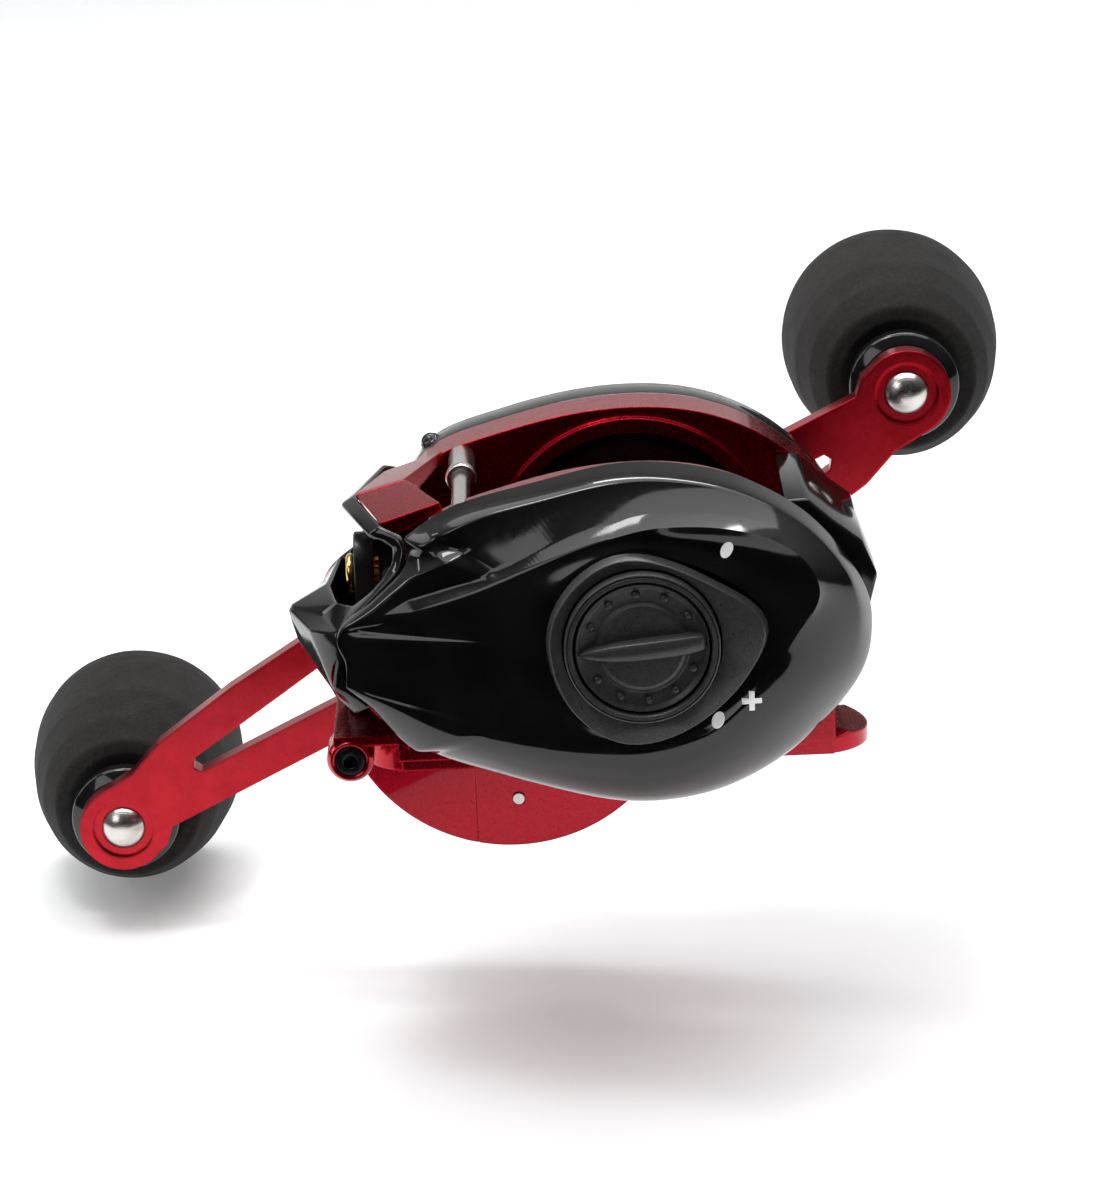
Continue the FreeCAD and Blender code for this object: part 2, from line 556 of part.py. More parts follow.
def ratchet_wheel():
    points = []
    for k in range(12):
        points.append(polar(*DRIVE, 8.3, 30 * k))
        points.append(polar(*DRIVE, 6.2, 30 * k + 4))
    return plate(points, 17.8, 18.3).cut(rod(DRIVE, 2.5 + SEAT, 10, 30))


def clutch_sleeve():
    return tube(DRIVE, 5.0, 3.2 + SEAT, 24.3, 33.2)


def one_way_bearing():
    cage = tube(DRIVE, 8.0, 5.0 + FIT, 25.3, 30.4)
    for k in range(8):
        cage = cage.cut(rod(polar(*DRIVE, 6.55, 45 * k), 0.8, 29.4, 32))
    return cage


# ---- level wind -----------------------------------------------------------
def worm_shaft():
    shaft = turned(WORM, [(0, -14.6), (SHAFT_R, -14.6), (SHAFT_R, -11.2), (2.3, -11.2), (2.3, 11.2),
                          (SHAFT_R, 11.2), (SHAFT_R, 17.9), (0, 17.9)])
    for y in (-10.2, 9.8):
        shaft = shaft.cut(tube(WORM, 3.0, 1.9, y, y + 0.4))
    return shaft


def worm_gear():
    half_pitch = 180.0 / WORM_TEETH
    teeth = placed(gear(WORM_TEETH, WORM_MODULE, 0.9, 16.5, 17.7), WORM, WORM_ANGLE + 180 + half_pitch)
    return teeth.cut(rod(WORM, SHAFT_R + SEAT, 10, 30))


def worm_bushings():
    return Part.makeCompound([tube(WORM, 2.5, SHAFT_R + FIT, -14.8, -11.6),
                              tube(WORM, 2.5, SHAFT_R + FIT, 11.6, 15.2)])


def carriage():
    """Traveller on the worm: barrel, guide-rod ear and the upright plate that holds the eye."""
    barrel = rod(WORM, 3.7, -3.6, 3.6)
    neck = box(-37.4, -34.8, -3.6, 3.6, WORM[1] + 2, 28.0)
    head = Part.makeCylinder(3.6, 2.6, V(-37.4, 0, 28.0), V(1, 0, 0))
    ear = box(-35.2, -31.7, -3.6, 3.6, 20.4, 23.6)
    pawl_boss = Part.makeCylinder(2.7, WORM[1] - 9.6, V(WORM[0], 0, 9.6))
    body = joined(barrel, neck, head, ear, pawl_boss)
    body = body.cut(rod(WORM, 2.3 + FIT, -5, 5)).cut(rod(SLIDE_ROD, SLIDE_ROD_R + FIT, -5, 5))
    body = body.cut(Part.makeCylinder(2.05 + SEAT, 6, V(-39, 0, EYE_Z), V(1, 0, 0)))
    body = body.cut(Part.makeCylinder(1.2 + SEAT, 5, V(WORM[0], 0, 9)))
    return body.removeSplitter()


def line_guide_ring():
    """Gold-coloured eye: rounded lip in front, thin sleeve through the carriage plate."""
    lip = Part.makeTorus(2.1, 0.55, V(EYE_X + 0.6, 0, EYE_Z), V(1, 0, 0))
    sleeve = Part.makeCylinder(2.05, 4.0, V(EYE_X + 0.4, 0, EYE_Z), V(1, 0, 0))
    bore = Part.makeCylinder(EYE_R, 8, V(EYE_X - 2, 0, EYE_Z), V(1, 0, 0))
    return sleeve.fuse(lip).cut(bore).removeSplitter()


def level_wind_pawl():
    low = 10.9
    pin = Part.makeCylinder(1.2, WORM[1] - 2.45 - low, V(WORM[0], 0, low))
    return pin


def pawl_cap():
    cap = Part.makeCylinder(2.9, 2.0, V(WORM[0], 0, 7.5))
    plug = Part.makeCylinder(1.18, 1.3, V(WORM[0], 0, 9.5))
    slot = Part.makeBox(4.0, 0.7, 0.7, V(WORM[0] - 2, -0.35, 7.2))
    return cap.fuse(plug).cut(slot).removeSplitter()


def guide_rod():
    return rod(GUIDE_ROD, GUIDE_ROD_R - 0.02, -13.8, 14.3)


def guide_rod_sleeve():
    y0, y1 = GUIDE_SLEEVE_Y
    sleeve = turned(GUIDE_ROD, [(GUIDE_ROD_R, y0), (1.95, y0), (2.1, y0 + 0.4), (2.1, y0 + 1.2),
                                (1.8, y0 + 1.6), (1.8, y1), (GUIDE_ROD_R, y1)])
    return sleeve


def slide_rod():
    return rod(SLIDE_ROD, SLIDE_ROD_R - 0.01, -13.8, 13.8)


# ---- thumb bar ------------------------------------------------------------
def thumb_bar():
    half = WALL_IN - 0.5
    profile = [(19.4, 36.9), (22.6, 37.0), (25.6, 34.2), (29.6, 31.0), (31.6, 26.2), (30.4, 21.6),
               (28.6, 21.6), (28.6, 25.8), (26.6, 29.2), (23.2, 31.8), (20.6, 34.4)]
    bar = plate(profile, -half, half)
    arm = plate([(20.4, 34.6), (26.4, 29.6), (26.4, 23.5), (20.6, 23.5)], half - 1.6, half)
    return joined(bar, arm)


def clutch_cam():
    """Plate worked by the thumb bar; its ramps lift the yoke."""
    lug = box(21.0, 24.0, WALL_IN - 0.45, 15.9, 24.6, 30.2)
    body = box(14.0, 24.4, 15.8, 17.2, 21.5, 30.2)
    return joined(lug, body)


# ---- handle ---------------------------------------------------------------
def handle_arm():
    """Straight double arm; each side forks towards the hub round a tapered slot."""
    half = [(0, 12.4), (14, 12.6), (28.1, 11.8), (40.9, 10.8), (54.1, 8.8), (60.0, 6.6),
            (HANDLE_ARM, ARM_END_R), (HANDLE_ARM, -ARM_END_R), (61.0, -5.3), (59.0, -3.3),
            (31.4, -4.1), (14, -5.5), (0, -12.4)]
    arms = []
    for turn in (180, 0):
        flat = plate([(s, -t) for s, t in half], ARM_IN, ARM_OUT)
        tip = rod((HANDLE_ARM, 0), ARM_END_R, ARM_IN, ARM_OUT)
        slot = plate([(51.5, -3.0), (50.6, -4.2), (27.3, -7.1), (17.0, -7.6), (17.0, -0.9),
                      (26.3, -1.1), (44.0, -1.7), (50.9, -1.9)], 0, 90)
        recess = rod((HANDLE_ARM, 0), 4.4, ARM_IN - 1, ARM_IN + 0.6)
        side = flat.fuse(tip).cut(slot).cut(recess)
        arms.append(placed(side, DRIVE, HANDLE_TILT + turn))
    body = joined(arms[0], arms[1], rod(DRIVE, 12.4, ARM_IN, ARM_OUT), rod(DRIVE, 5.5, 40.2, ARM_OUT))
    body = body.cut(rod(DRIVE, 3.2 + SEAT, 30, 60))
    for knob in (KNOB_FRONT, KNOB_REAR):
        body = body.cut(rod(knob, POST_R + SEAT, 30, 60))
    return body.removeSplitter()


def handle_nut():
    nut = plate([polar(*DRIVE, 5.4, 60 * k) for k in range(6)], ARM_OUT + 0.02, 50.0)
    return nut.cut(rod(DRIVE, 2.4 + SEAT, 40, 60))


def nut_retainer():
    cap = turned(DRIVE, [(0, 50.5), (5.9, 50.5), (5.9, 51.2), (4.5, 52.2), (0, 52.2)])
    skirt = tube(DRIVE, 6.3, 5.6, 48.0, 51.2)
    return joined(cap, skirt)


def knob_posts():
    """Knob spindles, each with a domed rivet head in the arm's recess."""
    posts = []
    for knob in (KNOB_FRONT, KNOB_REAR):
        posts.append(turned(knob, [(0, ARM_IN - 1.0), (1.6, ARM_IN - 0.85), (2.7, ARM_IN - 0.3),
                                   (3.2, ARM_IN + 0.2), (3.2, ARM_IN + 0.58), (POST_R, ARM_IN + 0.58),
                                   (POST_R, 80.0), (0, 80.0)]))
    return Part.makeCompound(posts)


def star_drag():
    """Five curved arms on a hub, between the gear cover and the handle."""
    arms = []
    for k in range(5):
        start = polar(*DRIVE, 5.0, 72 * k)
        knee = polar(*DRIVE, 11.6, 72 * k + 10)
        tip = polar(*DRIVE, 15.0, 72 * k + 26)
        arms.append(rounded_bar(start, knee, 2.6, 35.2, 37.4))
        arms.append(rounded_bar(knee, tip, 2.3, 35.4, 37.2))
    hub = turned(DRIVE, [(3.2 + FIT, 34.4), (7.0, 34.4), (8.0, 35.2), (8.0, 37.4), (6.0, 39.6),
                         (3.2 + FIT, 39.6)])
    star = joined(hub, *arms)
    return star.cut(rod(DRIVE, 3.2 + FIT, 30, 45))


def drag_springs():
    return Part.makeCompound([tube(DRIVE, 5.6, 3.2 + SEAT, 33.25, 33.7),
                              tube(DRIVE, 5.2, 3.2 + SEAT, 33.75, 34.2)])


def cast_control_cap():
    profile = [(0, 40.0), (5.6, 40.0), (7.2, 39.0), (7.6, 37.6), (7.6, 31.2), (6.4 + FIT, 31.2),
               (6.4 + FIT, 35.4), (0, 35.4)]
    cap = turned(SPOOL, profile)
    for k in range(12):
        cap = cap.cut(rod(polar(*SPOOL, 8.1, 30 * k), 0.9, 31, 38.6))
    return cap


# ---- knobs ----------------------------------------------------------------
def knob_collar(axis):
    """Gloss core of a knob: collar at the arm, tube through the foam."""
    return turned(axis, [(POST_R + 0.8, ARM_OUT + CLEAR), (6.6, ARM_OUT + CLEAR), (7.9, 48.2),
                         (7.9, 50.6), (6.9, 52.4), (5.0, 52.8), (5.0, KNOB_END - 4), (3.4, KNOB_END - 4),
                         (3.4, 79.0), (POST_R + 0.8, 79.0)])


def knob_foam(axis):
    """Round foam grip, dished round the collar and flared to its widest near the outer end."""
    profile = [(5.02, 53.6), (7.0, 53.4), (8.8, 52.4), (10.6, 52.8), (12.9, 57.5), (14.6, 64.0),
               (15.6, 71.0), (KNOB_R, 76.5), (15.5, 80.5), (13.6, 83.2), (10.5, KNOB_END),
               (6.2, KNOB_END), (5.02, KNOB_END - 0.4)]
    return turned(axis, profile)


def knob_bushes(axis):
    bushes = []
    for y0, y1 in ((ARM_OUT + 0.9, 50.4), (76.0, 78.9)):
        bushes.append(tube(axis, POST_R + 0.78, POST_R + FIT, y0, y1))
    cap = turned(axis, [(0, 80.4), (3.38, 80.4), (3.38, 83.0), (2.6, 83.6), (0, 83.6)])
    return Part.makeCompound(bushes + [cap])


NODES = {
    "main_frame": main_frame, "gear_housing": gear_housing, "reel_foot": reel_foot,
    "foot_screws": foot_screws, "lug_screw": lug_screw, "housing_pin": housing_pin,
    "front_cover": front_cover, "gear_side_plate": gear_side_plate,
    "side_plate_screws": side_plate_screws, "yoke_posts": yoke_posts,
    "anti_reverse_dog": anti_reverse_dog, "anti_reverse_bearing": one_way_bearing,
    "drive_shaft_bearing": lambda: ball_bearing(DRIVE, 5.0, 2.5 + FIT, 13.2, 16.1),
    "spool_bearing_handle_side": lambda: ball_bearing(SPOOL, 5.0, SHAFT_R + FIT, 13.3, 16.3),
    "spool_bearing_cover": lambda: ball_bearing(SPOOL, 4.5, SHAFT_R + FIT, 30.0, 33.0),
    "guide_rod": guide_rod, "guide_rod_sleeve": guide_rod_sleeve, "level_wind_rod": slide_rod,
    "worm_bushings": worm_bushings, "worm_shaft": worm_shaft, "worm_gear": worm_gear,
    "carriage": carriage, "line_guide_ring": line_guide_ring, "level_wind_pawl": level_wind_pawl,
    "pawl_cap": pawl_cap, "palm_plate": palm_plate, "dial_surround": dial_surround,
    "setting_marks": setting_marks, "brake_housing": brake_housing,
    "spool_bearing_palm_side": lambda: ball_bearing(SPOOL, 4.0, SHAFT_R + FIT, -20.5, -17.9),
    "brake_dial": brake_dial, "magnet_ring": magnet_ring, "spool": spool,
    "spool_shaft": spool_shaft, "drive_pin": drive_pin, "brake_rotor": brake_rotor,
    "pinion_gear": pinion_gear, "clutch_yoke": clutch_yoke, "thumb_bar": thumb_bar,
    "clutch_cam": clutch_cam, "drive_shaft": drive_shaft, "worm_drive_cog": worm_drive_cog,
    "ratchet_wheel": ratchet_wheel, "drive_gear": drive_gear, "drag_washers": drag_washers,
    "clutch_sleeve": clutch_sleeve, "handle_arm": handle_arm, "handle_nut": handle_nut,
    "nut_retainer": nut_retainer, "knob_posts": knob_posts, "star_drag": star_drag,
    "drag_springs": drag_springs, "cast_control_cap": cast_control_cap,
    "knob_collar_front": lambda: knob_collar(KNOB_FRONT),
    "knob_collar_rear": lambda: knob_collar(KNOB_REAR),
    "knob_foam_front": lambda: knob_foam(KNOB_FRONT),
    "knob_foam_rear": lambda: knob_foam(KNOB_REAR),
    "knob_bushes_front": lambda: knob_bushes(KNOB_FRONT),
    "knob_bushes_rear": lambda: knob_bushes(KNOB_REAR),
}

os.makedirs("parts", exist_ok=True)
for node, make in NODES.items():
    solid = make()
    if not solid.isValid() or not solid.Solids:
        print("check", node, solid.isValid(), len(solid.Solids))
    solid.exportStep("parts/" + node + ".step")
print(len(NODES), "nodes")
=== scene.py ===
"""Visual model of a low-profile baitcasting reel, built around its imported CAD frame.

Lengths are in millimetres until a mesh is made; every mesh is written in metres, in the
frame's own axes: +Z up, -X the front, -Y the palm side, +Y the handle side.
"""
import json
import math

import bmesh
import bpy
import numpy as np
from mathutils import Matrix, Vector


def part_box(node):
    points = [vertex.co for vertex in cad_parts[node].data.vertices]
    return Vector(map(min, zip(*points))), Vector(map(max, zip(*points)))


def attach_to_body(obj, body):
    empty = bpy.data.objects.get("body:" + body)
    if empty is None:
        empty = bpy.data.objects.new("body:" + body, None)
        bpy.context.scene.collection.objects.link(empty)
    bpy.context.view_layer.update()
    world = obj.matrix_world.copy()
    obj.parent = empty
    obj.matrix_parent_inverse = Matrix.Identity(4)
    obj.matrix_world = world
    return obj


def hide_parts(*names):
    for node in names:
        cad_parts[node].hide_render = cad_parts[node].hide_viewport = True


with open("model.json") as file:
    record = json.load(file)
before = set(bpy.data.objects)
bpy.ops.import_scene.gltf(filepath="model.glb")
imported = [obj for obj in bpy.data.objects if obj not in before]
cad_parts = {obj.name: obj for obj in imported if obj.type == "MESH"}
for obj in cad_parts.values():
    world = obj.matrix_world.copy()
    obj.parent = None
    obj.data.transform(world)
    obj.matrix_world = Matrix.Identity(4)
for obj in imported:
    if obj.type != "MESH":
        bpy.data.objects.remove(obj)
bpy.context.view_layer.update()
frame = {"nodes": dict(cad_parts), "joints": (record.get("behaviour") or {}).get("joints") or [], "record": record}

MM = 0.001
JOINTS = {joint["name"]: joint for joint in frame["joints"]}
RECORD_SLOT = {part["node"]: part["material_slot"] for part in frame["record"]["subparts"]}
BODY_OF = {node: body for body, nodes in frame["record"]["behaviour"]["bodies"].items() for node in nodes}


def joint_axis(name):
    """Where a hinge's axis crosses the X-Z plane, in millimetres."""
    place = JOINTS[name]["pos_m"]
    return place[0] / MM, place[2] / MM


SPOOL = joint_axis("spool_spin")
WORM = joint_axis("worm_spin")
KNOBS = {"front": joint_axis("front_knob_spin"), "rear": joint_axis("rear_knob_spin")}


def node_box(name):
    low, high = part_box(name)
    return low / MM, high / MM


# ---- mesh tools -----------------------------------------------------------
WELD, CAD_WELD = 1e-6, 2e-6          # metres; nearer vertices become one
FLAT_ANGLE = 1.0                     # degrees; CAD faces that turn by less are merged
BEVEL_SEGMENTS, BEVEL_ANGLE = 3, 30
SKIN_SHARP = 40                      # degrees; edges of CAD copies that stay crisp
AXIS_RADIUS = 1e-6                   # millimetres; a profile point nearer than this lies on its axis


def placed(name, data):
    """A new object in the scene."""
    item = bpy.data.objects.new(name, data)
    bpy.context.scene.collection.objects.link(item)
    return item


def mesh_object(name, verts, faces):
    mesh = bpy.data.meshes.new(name)
    mesh.from_pydata([Vector(v) * MM for v in verts], [], faces)
    return placed(name, mesh)


def piece_from(name, verts, faces, body, slot, replaced=(), sharp=35, smooth=True):
    """A mesh object from millimetre vertices, riding on a body."""
    piece = mesh_object(name, verts, faces)
    tidy_mesh(piece)
    if smooth:
        shade(piece, sharp)
    attach(piece, body, slot, replaced)
    return piece


def attach(piece, body, slot, replaced=()):
    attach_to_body(piece, body)
    if replaced:
        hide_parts(*replaced)
    paint(piece, slot)


def paint(piece, slot):
    piece.data.materials.clear()
    piece.data.materials.append(MATERIALS[slot])


def tidy_mesh(piece):
    bm = bmesh.new()
    bm.from_mesh(piece.data)
    bmesh.ops.remove_doubles(bm, verts=bm.verts, dist=WELD)
    bmesh.ops.recalc_face_normals(bm, faces=bm.faces)
    bm.to_mesh(piece.data)
    bm.free()


def shade(piece, degrees):
    """Smooth shading that stays crisp where faces meet at more than `degrees`."""
    for polygon in piece.data.polygons:
        polygon.use_smooth = True
    bm = bmesh.new()
    bm.from_mesh(piece.data)
    limit = math.radians(degrees)
    for edge in bm.edges:
        edge.smooth = len(edge.link_faces) != 2 or edge.calc_face_angle(0) < limit
    bm.to_mesh(piece.data)
    bm.free()


def apply_modifiers(piece):
    graph = bpy.context.evaluated_depsgraph_get()
    mesh = bpy.data.meshes.new_from_object(piece.evaluated_get(graph))
    piece.modifiers.clear()
    piece.data = mesh


def bevel(piece, width, angle=BEVEL_ANGLE):
    """Rounds the edges that turn by more than `angle` degrees."""
    modifier = piece.modifiers.new("bevel", "BEVEL")
    modifier.width = width * MM
    modifier.segments = BEVEL_SEGMENTS
    modifier.limit_method = "ANGLE"
    modifier.angle_limit = math.radians(angle)
    modifier.use_clamp_overlap = False
    modifier.miter_outer = "MITER_ARC"
    apply_modifiers(piece)


def thicken(piece, amount):
    """Gives a sheet a wall, on the side away from its normals."""
    modifier = piece.modifiers.new("thickness", "SOLIDIFY")
    modifier.thickness = amount * MM
    modifier.offset = -1
    modifier.use_even_offset = True
    apply_modifiers(piece)


def refined(node, width):
    """A copy of a CAD node with its flat faces merged and its edges rounded, in its place."""
    piece = placed(node + "_skin", frame["nodes"][node].data.copy())
    bm = bmesh.new()
    bm.from_mesh(piece.data)
    for layer in list(bm.loops.layers.uv.values()):
        bm.loops.layers.uv.remove(layer)
    bmesh.ops.remove_doubles(bm, verts=bm.verts, dist=CAD_WELD)
    bmesh.ops.dissolve_limit(bm, angle_limit=math.radians(FLAT_ANGLE), verts=bm.verts, edges=bm.edges,
                             use_dissolve_boundaries=False)
    bmesh.ops.recalc_face_normals(bm, faces=bm.faces)
    bm.to_mesh(piece.data)
    bm.free()
    if piece.data.has_custom_normals:
        with bpy.context.temp_override(object=piece, active_object=piece):
            bpy.ops.mesh.customdata_custom_splitnormals_clear()
    bevel(piece, width)
    shade(piece, SKIN_SHARP)
    attach(piece, BODY_OF[node], RECORD_SLOT[node], (node,))


def smooth_curve(points, closed=True, steps=12):
    """Points along a Catmull-Rom curve through given points."""
    points = [np.array(p, float) for p in points]
    count = len(points)
    out = []
    spans = count if closed else count - 1
    for i in range(spans):
        if closed:
            p0, p1, p2, p3 = (points[(i + k) % count] for k in (-1, 0, 1, 2))
        else:
            p0, p1 = points[max(i - 1, 0)], points[i]
            p2, p3 = points[i + 1], points[min(i + 2, count - 1)]
        for step in range(steps):
            t = step / steps
            out.append(0.5 * (2 * p1 + (p2 - p0) * t + (2 * p0 - 5 * p1 + 4 * p2 - p3) * t * t
                              + (3 * p1 - p0 - 3 * p2 + p3) * t ** 3))
    if not closed:
        out.append(points[-1])
    return np.array(out)


def radius_by_angle(curve, centre, angles):
    """Distance from the centre to a star-shaped closed curve, at each angle."""
    dx, dz = curve[:, 0] - centre[0], curve[:, 1] - centre[1]
    turn = np.mod(np.arctan2(dz, dx), 2 * math.pi)
    order = np.argsort(turn)
    return np.interp(angles, turn[order], np.hypot(dx, dz)[order], period=2 * math.pi)


def rounded(profile, radius, steps):
    """A (radius, y) polygon with its corners rounded; a third value is a corner's own radius.

    Corners on the axis and nearly straight ones are left as they are.
    """
    straight, longest_cut = math.radians(87), 0.45
    out = []
    count = len(profile)
    for i, corner in enumerate(profile):
        p = np.array(corner[:2], float)
        r = corner[2] if len(corner) > 2 else radius
        a = np.array(profile[i - 1][:2], float) - p
        b = np.array(profile[(i + 1) % count][:2], float) - p
        la, lb = np.linalg.norm(a), np.linalg.norm(b)
        if p[0] < AXIS_RADIUS:
            out.append(tuple(p))
            continue
        a, b = a / la, b / lb
        half = math.acos(max(-1, min(1, float(a @ b)))) / 2
        if half > straight:
            out.append(tuple(p))
            continue
        cut = min(r / math.tan(half), longest_cut * la, longest_cut * lb)
        for k in range(steps + 1):
            t = k / steps
            out.append(tuple((1 - t) ** 2 * (p + a * cut) + 2 * t * (1 - t) * p + t * t * (p + b * cut)))
    return out


def ring_faces(rows, count):
    """Quads between each ring of `count` vertices and the next."""
    return [(i * count + k, (i + 1) * count + k, (i + 1) * count + n, i * count + n)
            for i in range(rows - 1) for k, n in neighbours(count)]


def neighbours(count):
    """Each index of a closed ring with the one after it."""
    return [(k, (k + 1) % count) for k in range(count)]


def lathe_mesh(axis, profile, steps):
    """Vertices and faces of a profile of (radius, y) points turned about an axis along Y."""
    verts, faces = [], []
    for r, y in profile:
        for k in range(steps):
            angle = 2 * math.pi * k / steps
            verts.append((axis[0] + r * math.cos(angle), y, axis[1] + r * math.sin(angle)))
    for i, j in neighbours(len(profile)):
        if max(profile[i][0], profile[j][0]) >= AXIS_RADIUS:
            faces += [(i * steps + k, j * steps + k, j * steps + n, i * steps + n)
                      for k, n in neighbours(steps)]
    return verts, faces


def lathe(name, axis, profile, body, slot, replaced=(), steps=96, sharp=35):
    verts, faces = lathe_mesh(axis, profile, steps)
    return piece_from(name, verts, faces, body, slot, replaced, sharp)


# ---- materials ------------------------------------------------------------
SURFACE_IOR = 1.5


def map_range(nodes, links, value, low, high, start, end):
    """Maps a value between start and end onto the range from low to high."""
    node = nodes.new("ShaderNodeMapRange")
    node.inputs["From Min"].default_value = start
    node.inputs["From Max"].default_value = end
    node.inputs["To Min"].default_value = low
    node.inputs["To Max"].default_value = high
    links.new(value, node.inputs["Value"])
    return node.outputs["Result"]


def scaled(colour, factor):
    return tuple(c * factor for c in colour)


class Surface:
    """A Principled material with helpers for procedural variation; sizes are in millimetres."""

    def __init__(self, name, colour, rough, metallic=0.0, coat=0.0, coat_rough=0.03):
        self.material = bpy.data.materials.new(name)
        self.material.use_nodes = True
        self.nodes = self.material.node_tree.nodes
        self.links = self.material.node_tree.links
        self.shader = self.nodes["Principled BSDF"]
        self.shader.inputs["Base Color"].default_value = (*colour, 1)
        self.shader.inputs["Roughness"].default_value = rough
        self.shader.inputs["Metallic"].default_value = metallic
        self.shader.inputs["Coat Weight"].default_value = coat
        self.shader.inputs["Coat Roughness"].default_value = coat_rough
        self.shader.inputs["IOR"].default_value = SURFACE_IOR
        self.where = self.nodes.new("ShaderNodeTexCoord").outputs["Object"]
        self.height = None

    def soft_edges(self, radius_mm):
        """Edges catch the light as if rounded to a radius."""
        node = self.nodes.new("ShaderNodeBevel")
        node.samples = 6
        node.inputs["Radius"].default_value = radius_mm * MM
        self.height = node.outputs["Normal"]
        self.links.new(self.height, self.shader.inputs["Normal"])

    def noise(self, size_mm, detail=3.0, roughness=0.55, stretch=None):
        """Noise whose features are about size_mm across; stretch squeezes it along each axis."""
        node = self.nodes.new("ShaderNodeTexNoise")
        node.inputs["Scale"].default_value = 1 / (size_mm * MM)
        node.inputs["Detail"].default_value = detail
        node.inputs["Roughness"].default_value = roughness
        where = self.where
        if stretch:
            mapping = self.nodes.new("ShaderNodeMapping")
            mapping.inputs["Scale"].default_value = stretch
            self.links.new(self.where, mapping.inputs["Vector"])
            where = mapping.outputs["Vector"]
        self.links.new(where, node.inputs["Vector"])
        return node.outputs["Fac"]

    def cells(self, size_mm, output="Distance"):
        """Round cells about size_mm across, as a distance or as a random colour for each."""
        node = self.nodes.new("ShaderNodeTexVoronoi")
        node.inputs["Scale"].default_value = 1 / (size_mm * MM)
        self.links.new(self.where, node.inputs["Vector"])
        return node.outputs[output]

    def colours(self, value, stops):
        """Colour variation: stops are (position, colour)."""
        ramp = self.nodes.new("ShaderNodeValToRGB")
        while len(ramp.color_ramp.elements) < len(stops):
            ramp.color_ramp.elements.new(0.5)
        for element, (position, colour) in zip(ramp.color_ramp.elements, stops):
            element.position = position
            element.color = (*colour, 1)
        self.links.new(value, ramp.inputs["Fac"])
        self.links.new(ramp.outputs["Color"], self.shader.inputs["Base Color"])

    def roughness(self, value, low, high):
        """Roughness between low and high, following a noise centred on 0.5."""
        result = map_range(self.nodes, self.links, value, low, high, 0.3, 0.7)
        self.links.new(result, self.shader.inputs["Roughness"])

    def bump(self, value, depth_mm, strength):
        """Adds a height layer; several calls stack."""
        node = self.nodes.new("ShaderNodeBump")
        node.inputs["Strength"].default_value = strength
        node.inputs["Distance"].default_value = depth_mm * MM
        self.links.new(value, node.inputs["Height"])
        if self.height:
            self.links.new(self.height, node.inputs["Normal"])
        self.height = node.outputs["Normal"]
        self.links.new(self.height, self.shader.inputs["Normal"])


def candy_red(name, deep, bright):
    """Fine metal flake under translucent red lacquer, with a clear coat."""
    flake_mm = 0.07
    s = Surface(name, deep, 0.24, metallic=0.95, coat=0.35)
    s.soft_edges(0.45)
    s.colours(s.cells(flake_mm, "Color"), [(0.0, deep), (0.6, bright), (1.0, scaled(bright, 1.3))])
    s.roughness(s.noise(0.5), 0.20, 0.30)
    s.bump(s.cells(flake_mm), 0.002, 0.25)
    s.bump(s.noise(3.0, 1), 0.008, 0.12)
    return s.material


def anodised_red(name):
    """Dyed, fine-blasted aluminium."""
    s = Surface(name, (0.40, 0.008, 0.018), 0.28, metallic=1.0, coat=0.25, coat_rough=0.15)
    s.soft_edges(0.5)
    grain = s.noise(0.12, 4)
    s.colours(s.noise(3.5, 3), [(0.3, (0.38, 0.006, 0.014)), (0.7, (0.47, 0.010, 0.022))])
    s.roughness(grain, 0.24, 0.36)
    s.bump(grain, 0.004, 0.35)
    return s.material


def gloss_black(name, tone=0.006, rough=0.09):
    """Moulded gloss plastic: clean reflections with a trace of orange peel."""
    grey = (tone,) * 3
    s = Surface(name, grey, rough)
    s.colours(s.noise(6, 2), [(0.3, scaled(grey, 0.7)), (0.7, scaled(grey, 1.3))])
    s.roughness(s.noise(1.2, 4), rough * 0.7, rough * 1.5)
    s.bump(s.noise(3.0, 1), 0.010, 0.08)
    return s.material


def textured_black(name):
    """Spark-eroded plastic texture."""
    grey, rough = (0.034,) * 3, 0.34
    s = Surface(name, grey, rough)
    grain = s.noise(0.22, 5, 0.65)
    s.colours(grain, [(0.35, scaled(grey, 0.7)), (0.68, scaled(grey, 1.5))])
    s.roughness(s.noise(0.6, 3), rough - 0.08, rough + 0.12)
    s.bump(grain, 0.03, 0.6)
    return s.material


def foam(name):
    """Closed-cell foam: warm near-black, its cut skin full of fine open cells."""
    s = Surface(name, (0.018, 0.0165, 0.0155), 0.9)
    s.colours(s.noise(0.55, 5, 0.75), [(0.32, (0.007, 0.0064, 0.006)), (0.72, (0.021, 0.019, 0.018))])
    s.roughness(s.noise(4.0, 3), 0.82, 0.97)
    s.bump(s.cells(0.22), 0.05, 0.5)
    s.bump(s.noise(0.8, 5, 0.7), 0.10, 0.5)
    s.shader.inputs["Specular IOR Level"].default_value = 0.25
    s.shader.inputs["Sheen Weight"].default_value = 0.04
    s.shader.inputs["Sheen Roughness"].default_value = 0.5
    return s.material


def metal(name, colour, rough, brushed=None, anisotropic=0.0):
    """Machined metal; brushed squeezes its fine grain into turning marks."""
    s = Surface(name, colour, rough, metallic=1.0)
    grain = s.noise(0.15, 4, stretch=brushed)
    s.colours(s.noise(2.0, 3), [(0.3, scaled(colour, 0.86)), (0.7, colour)])
    s.roughness(grain, rough * 0.75, rough * 1.35)
    s.bump(grain, 0.003, 0.5)
    s.shader.inputs["Anisotropic"].default_value = anisotropic
    return s.material


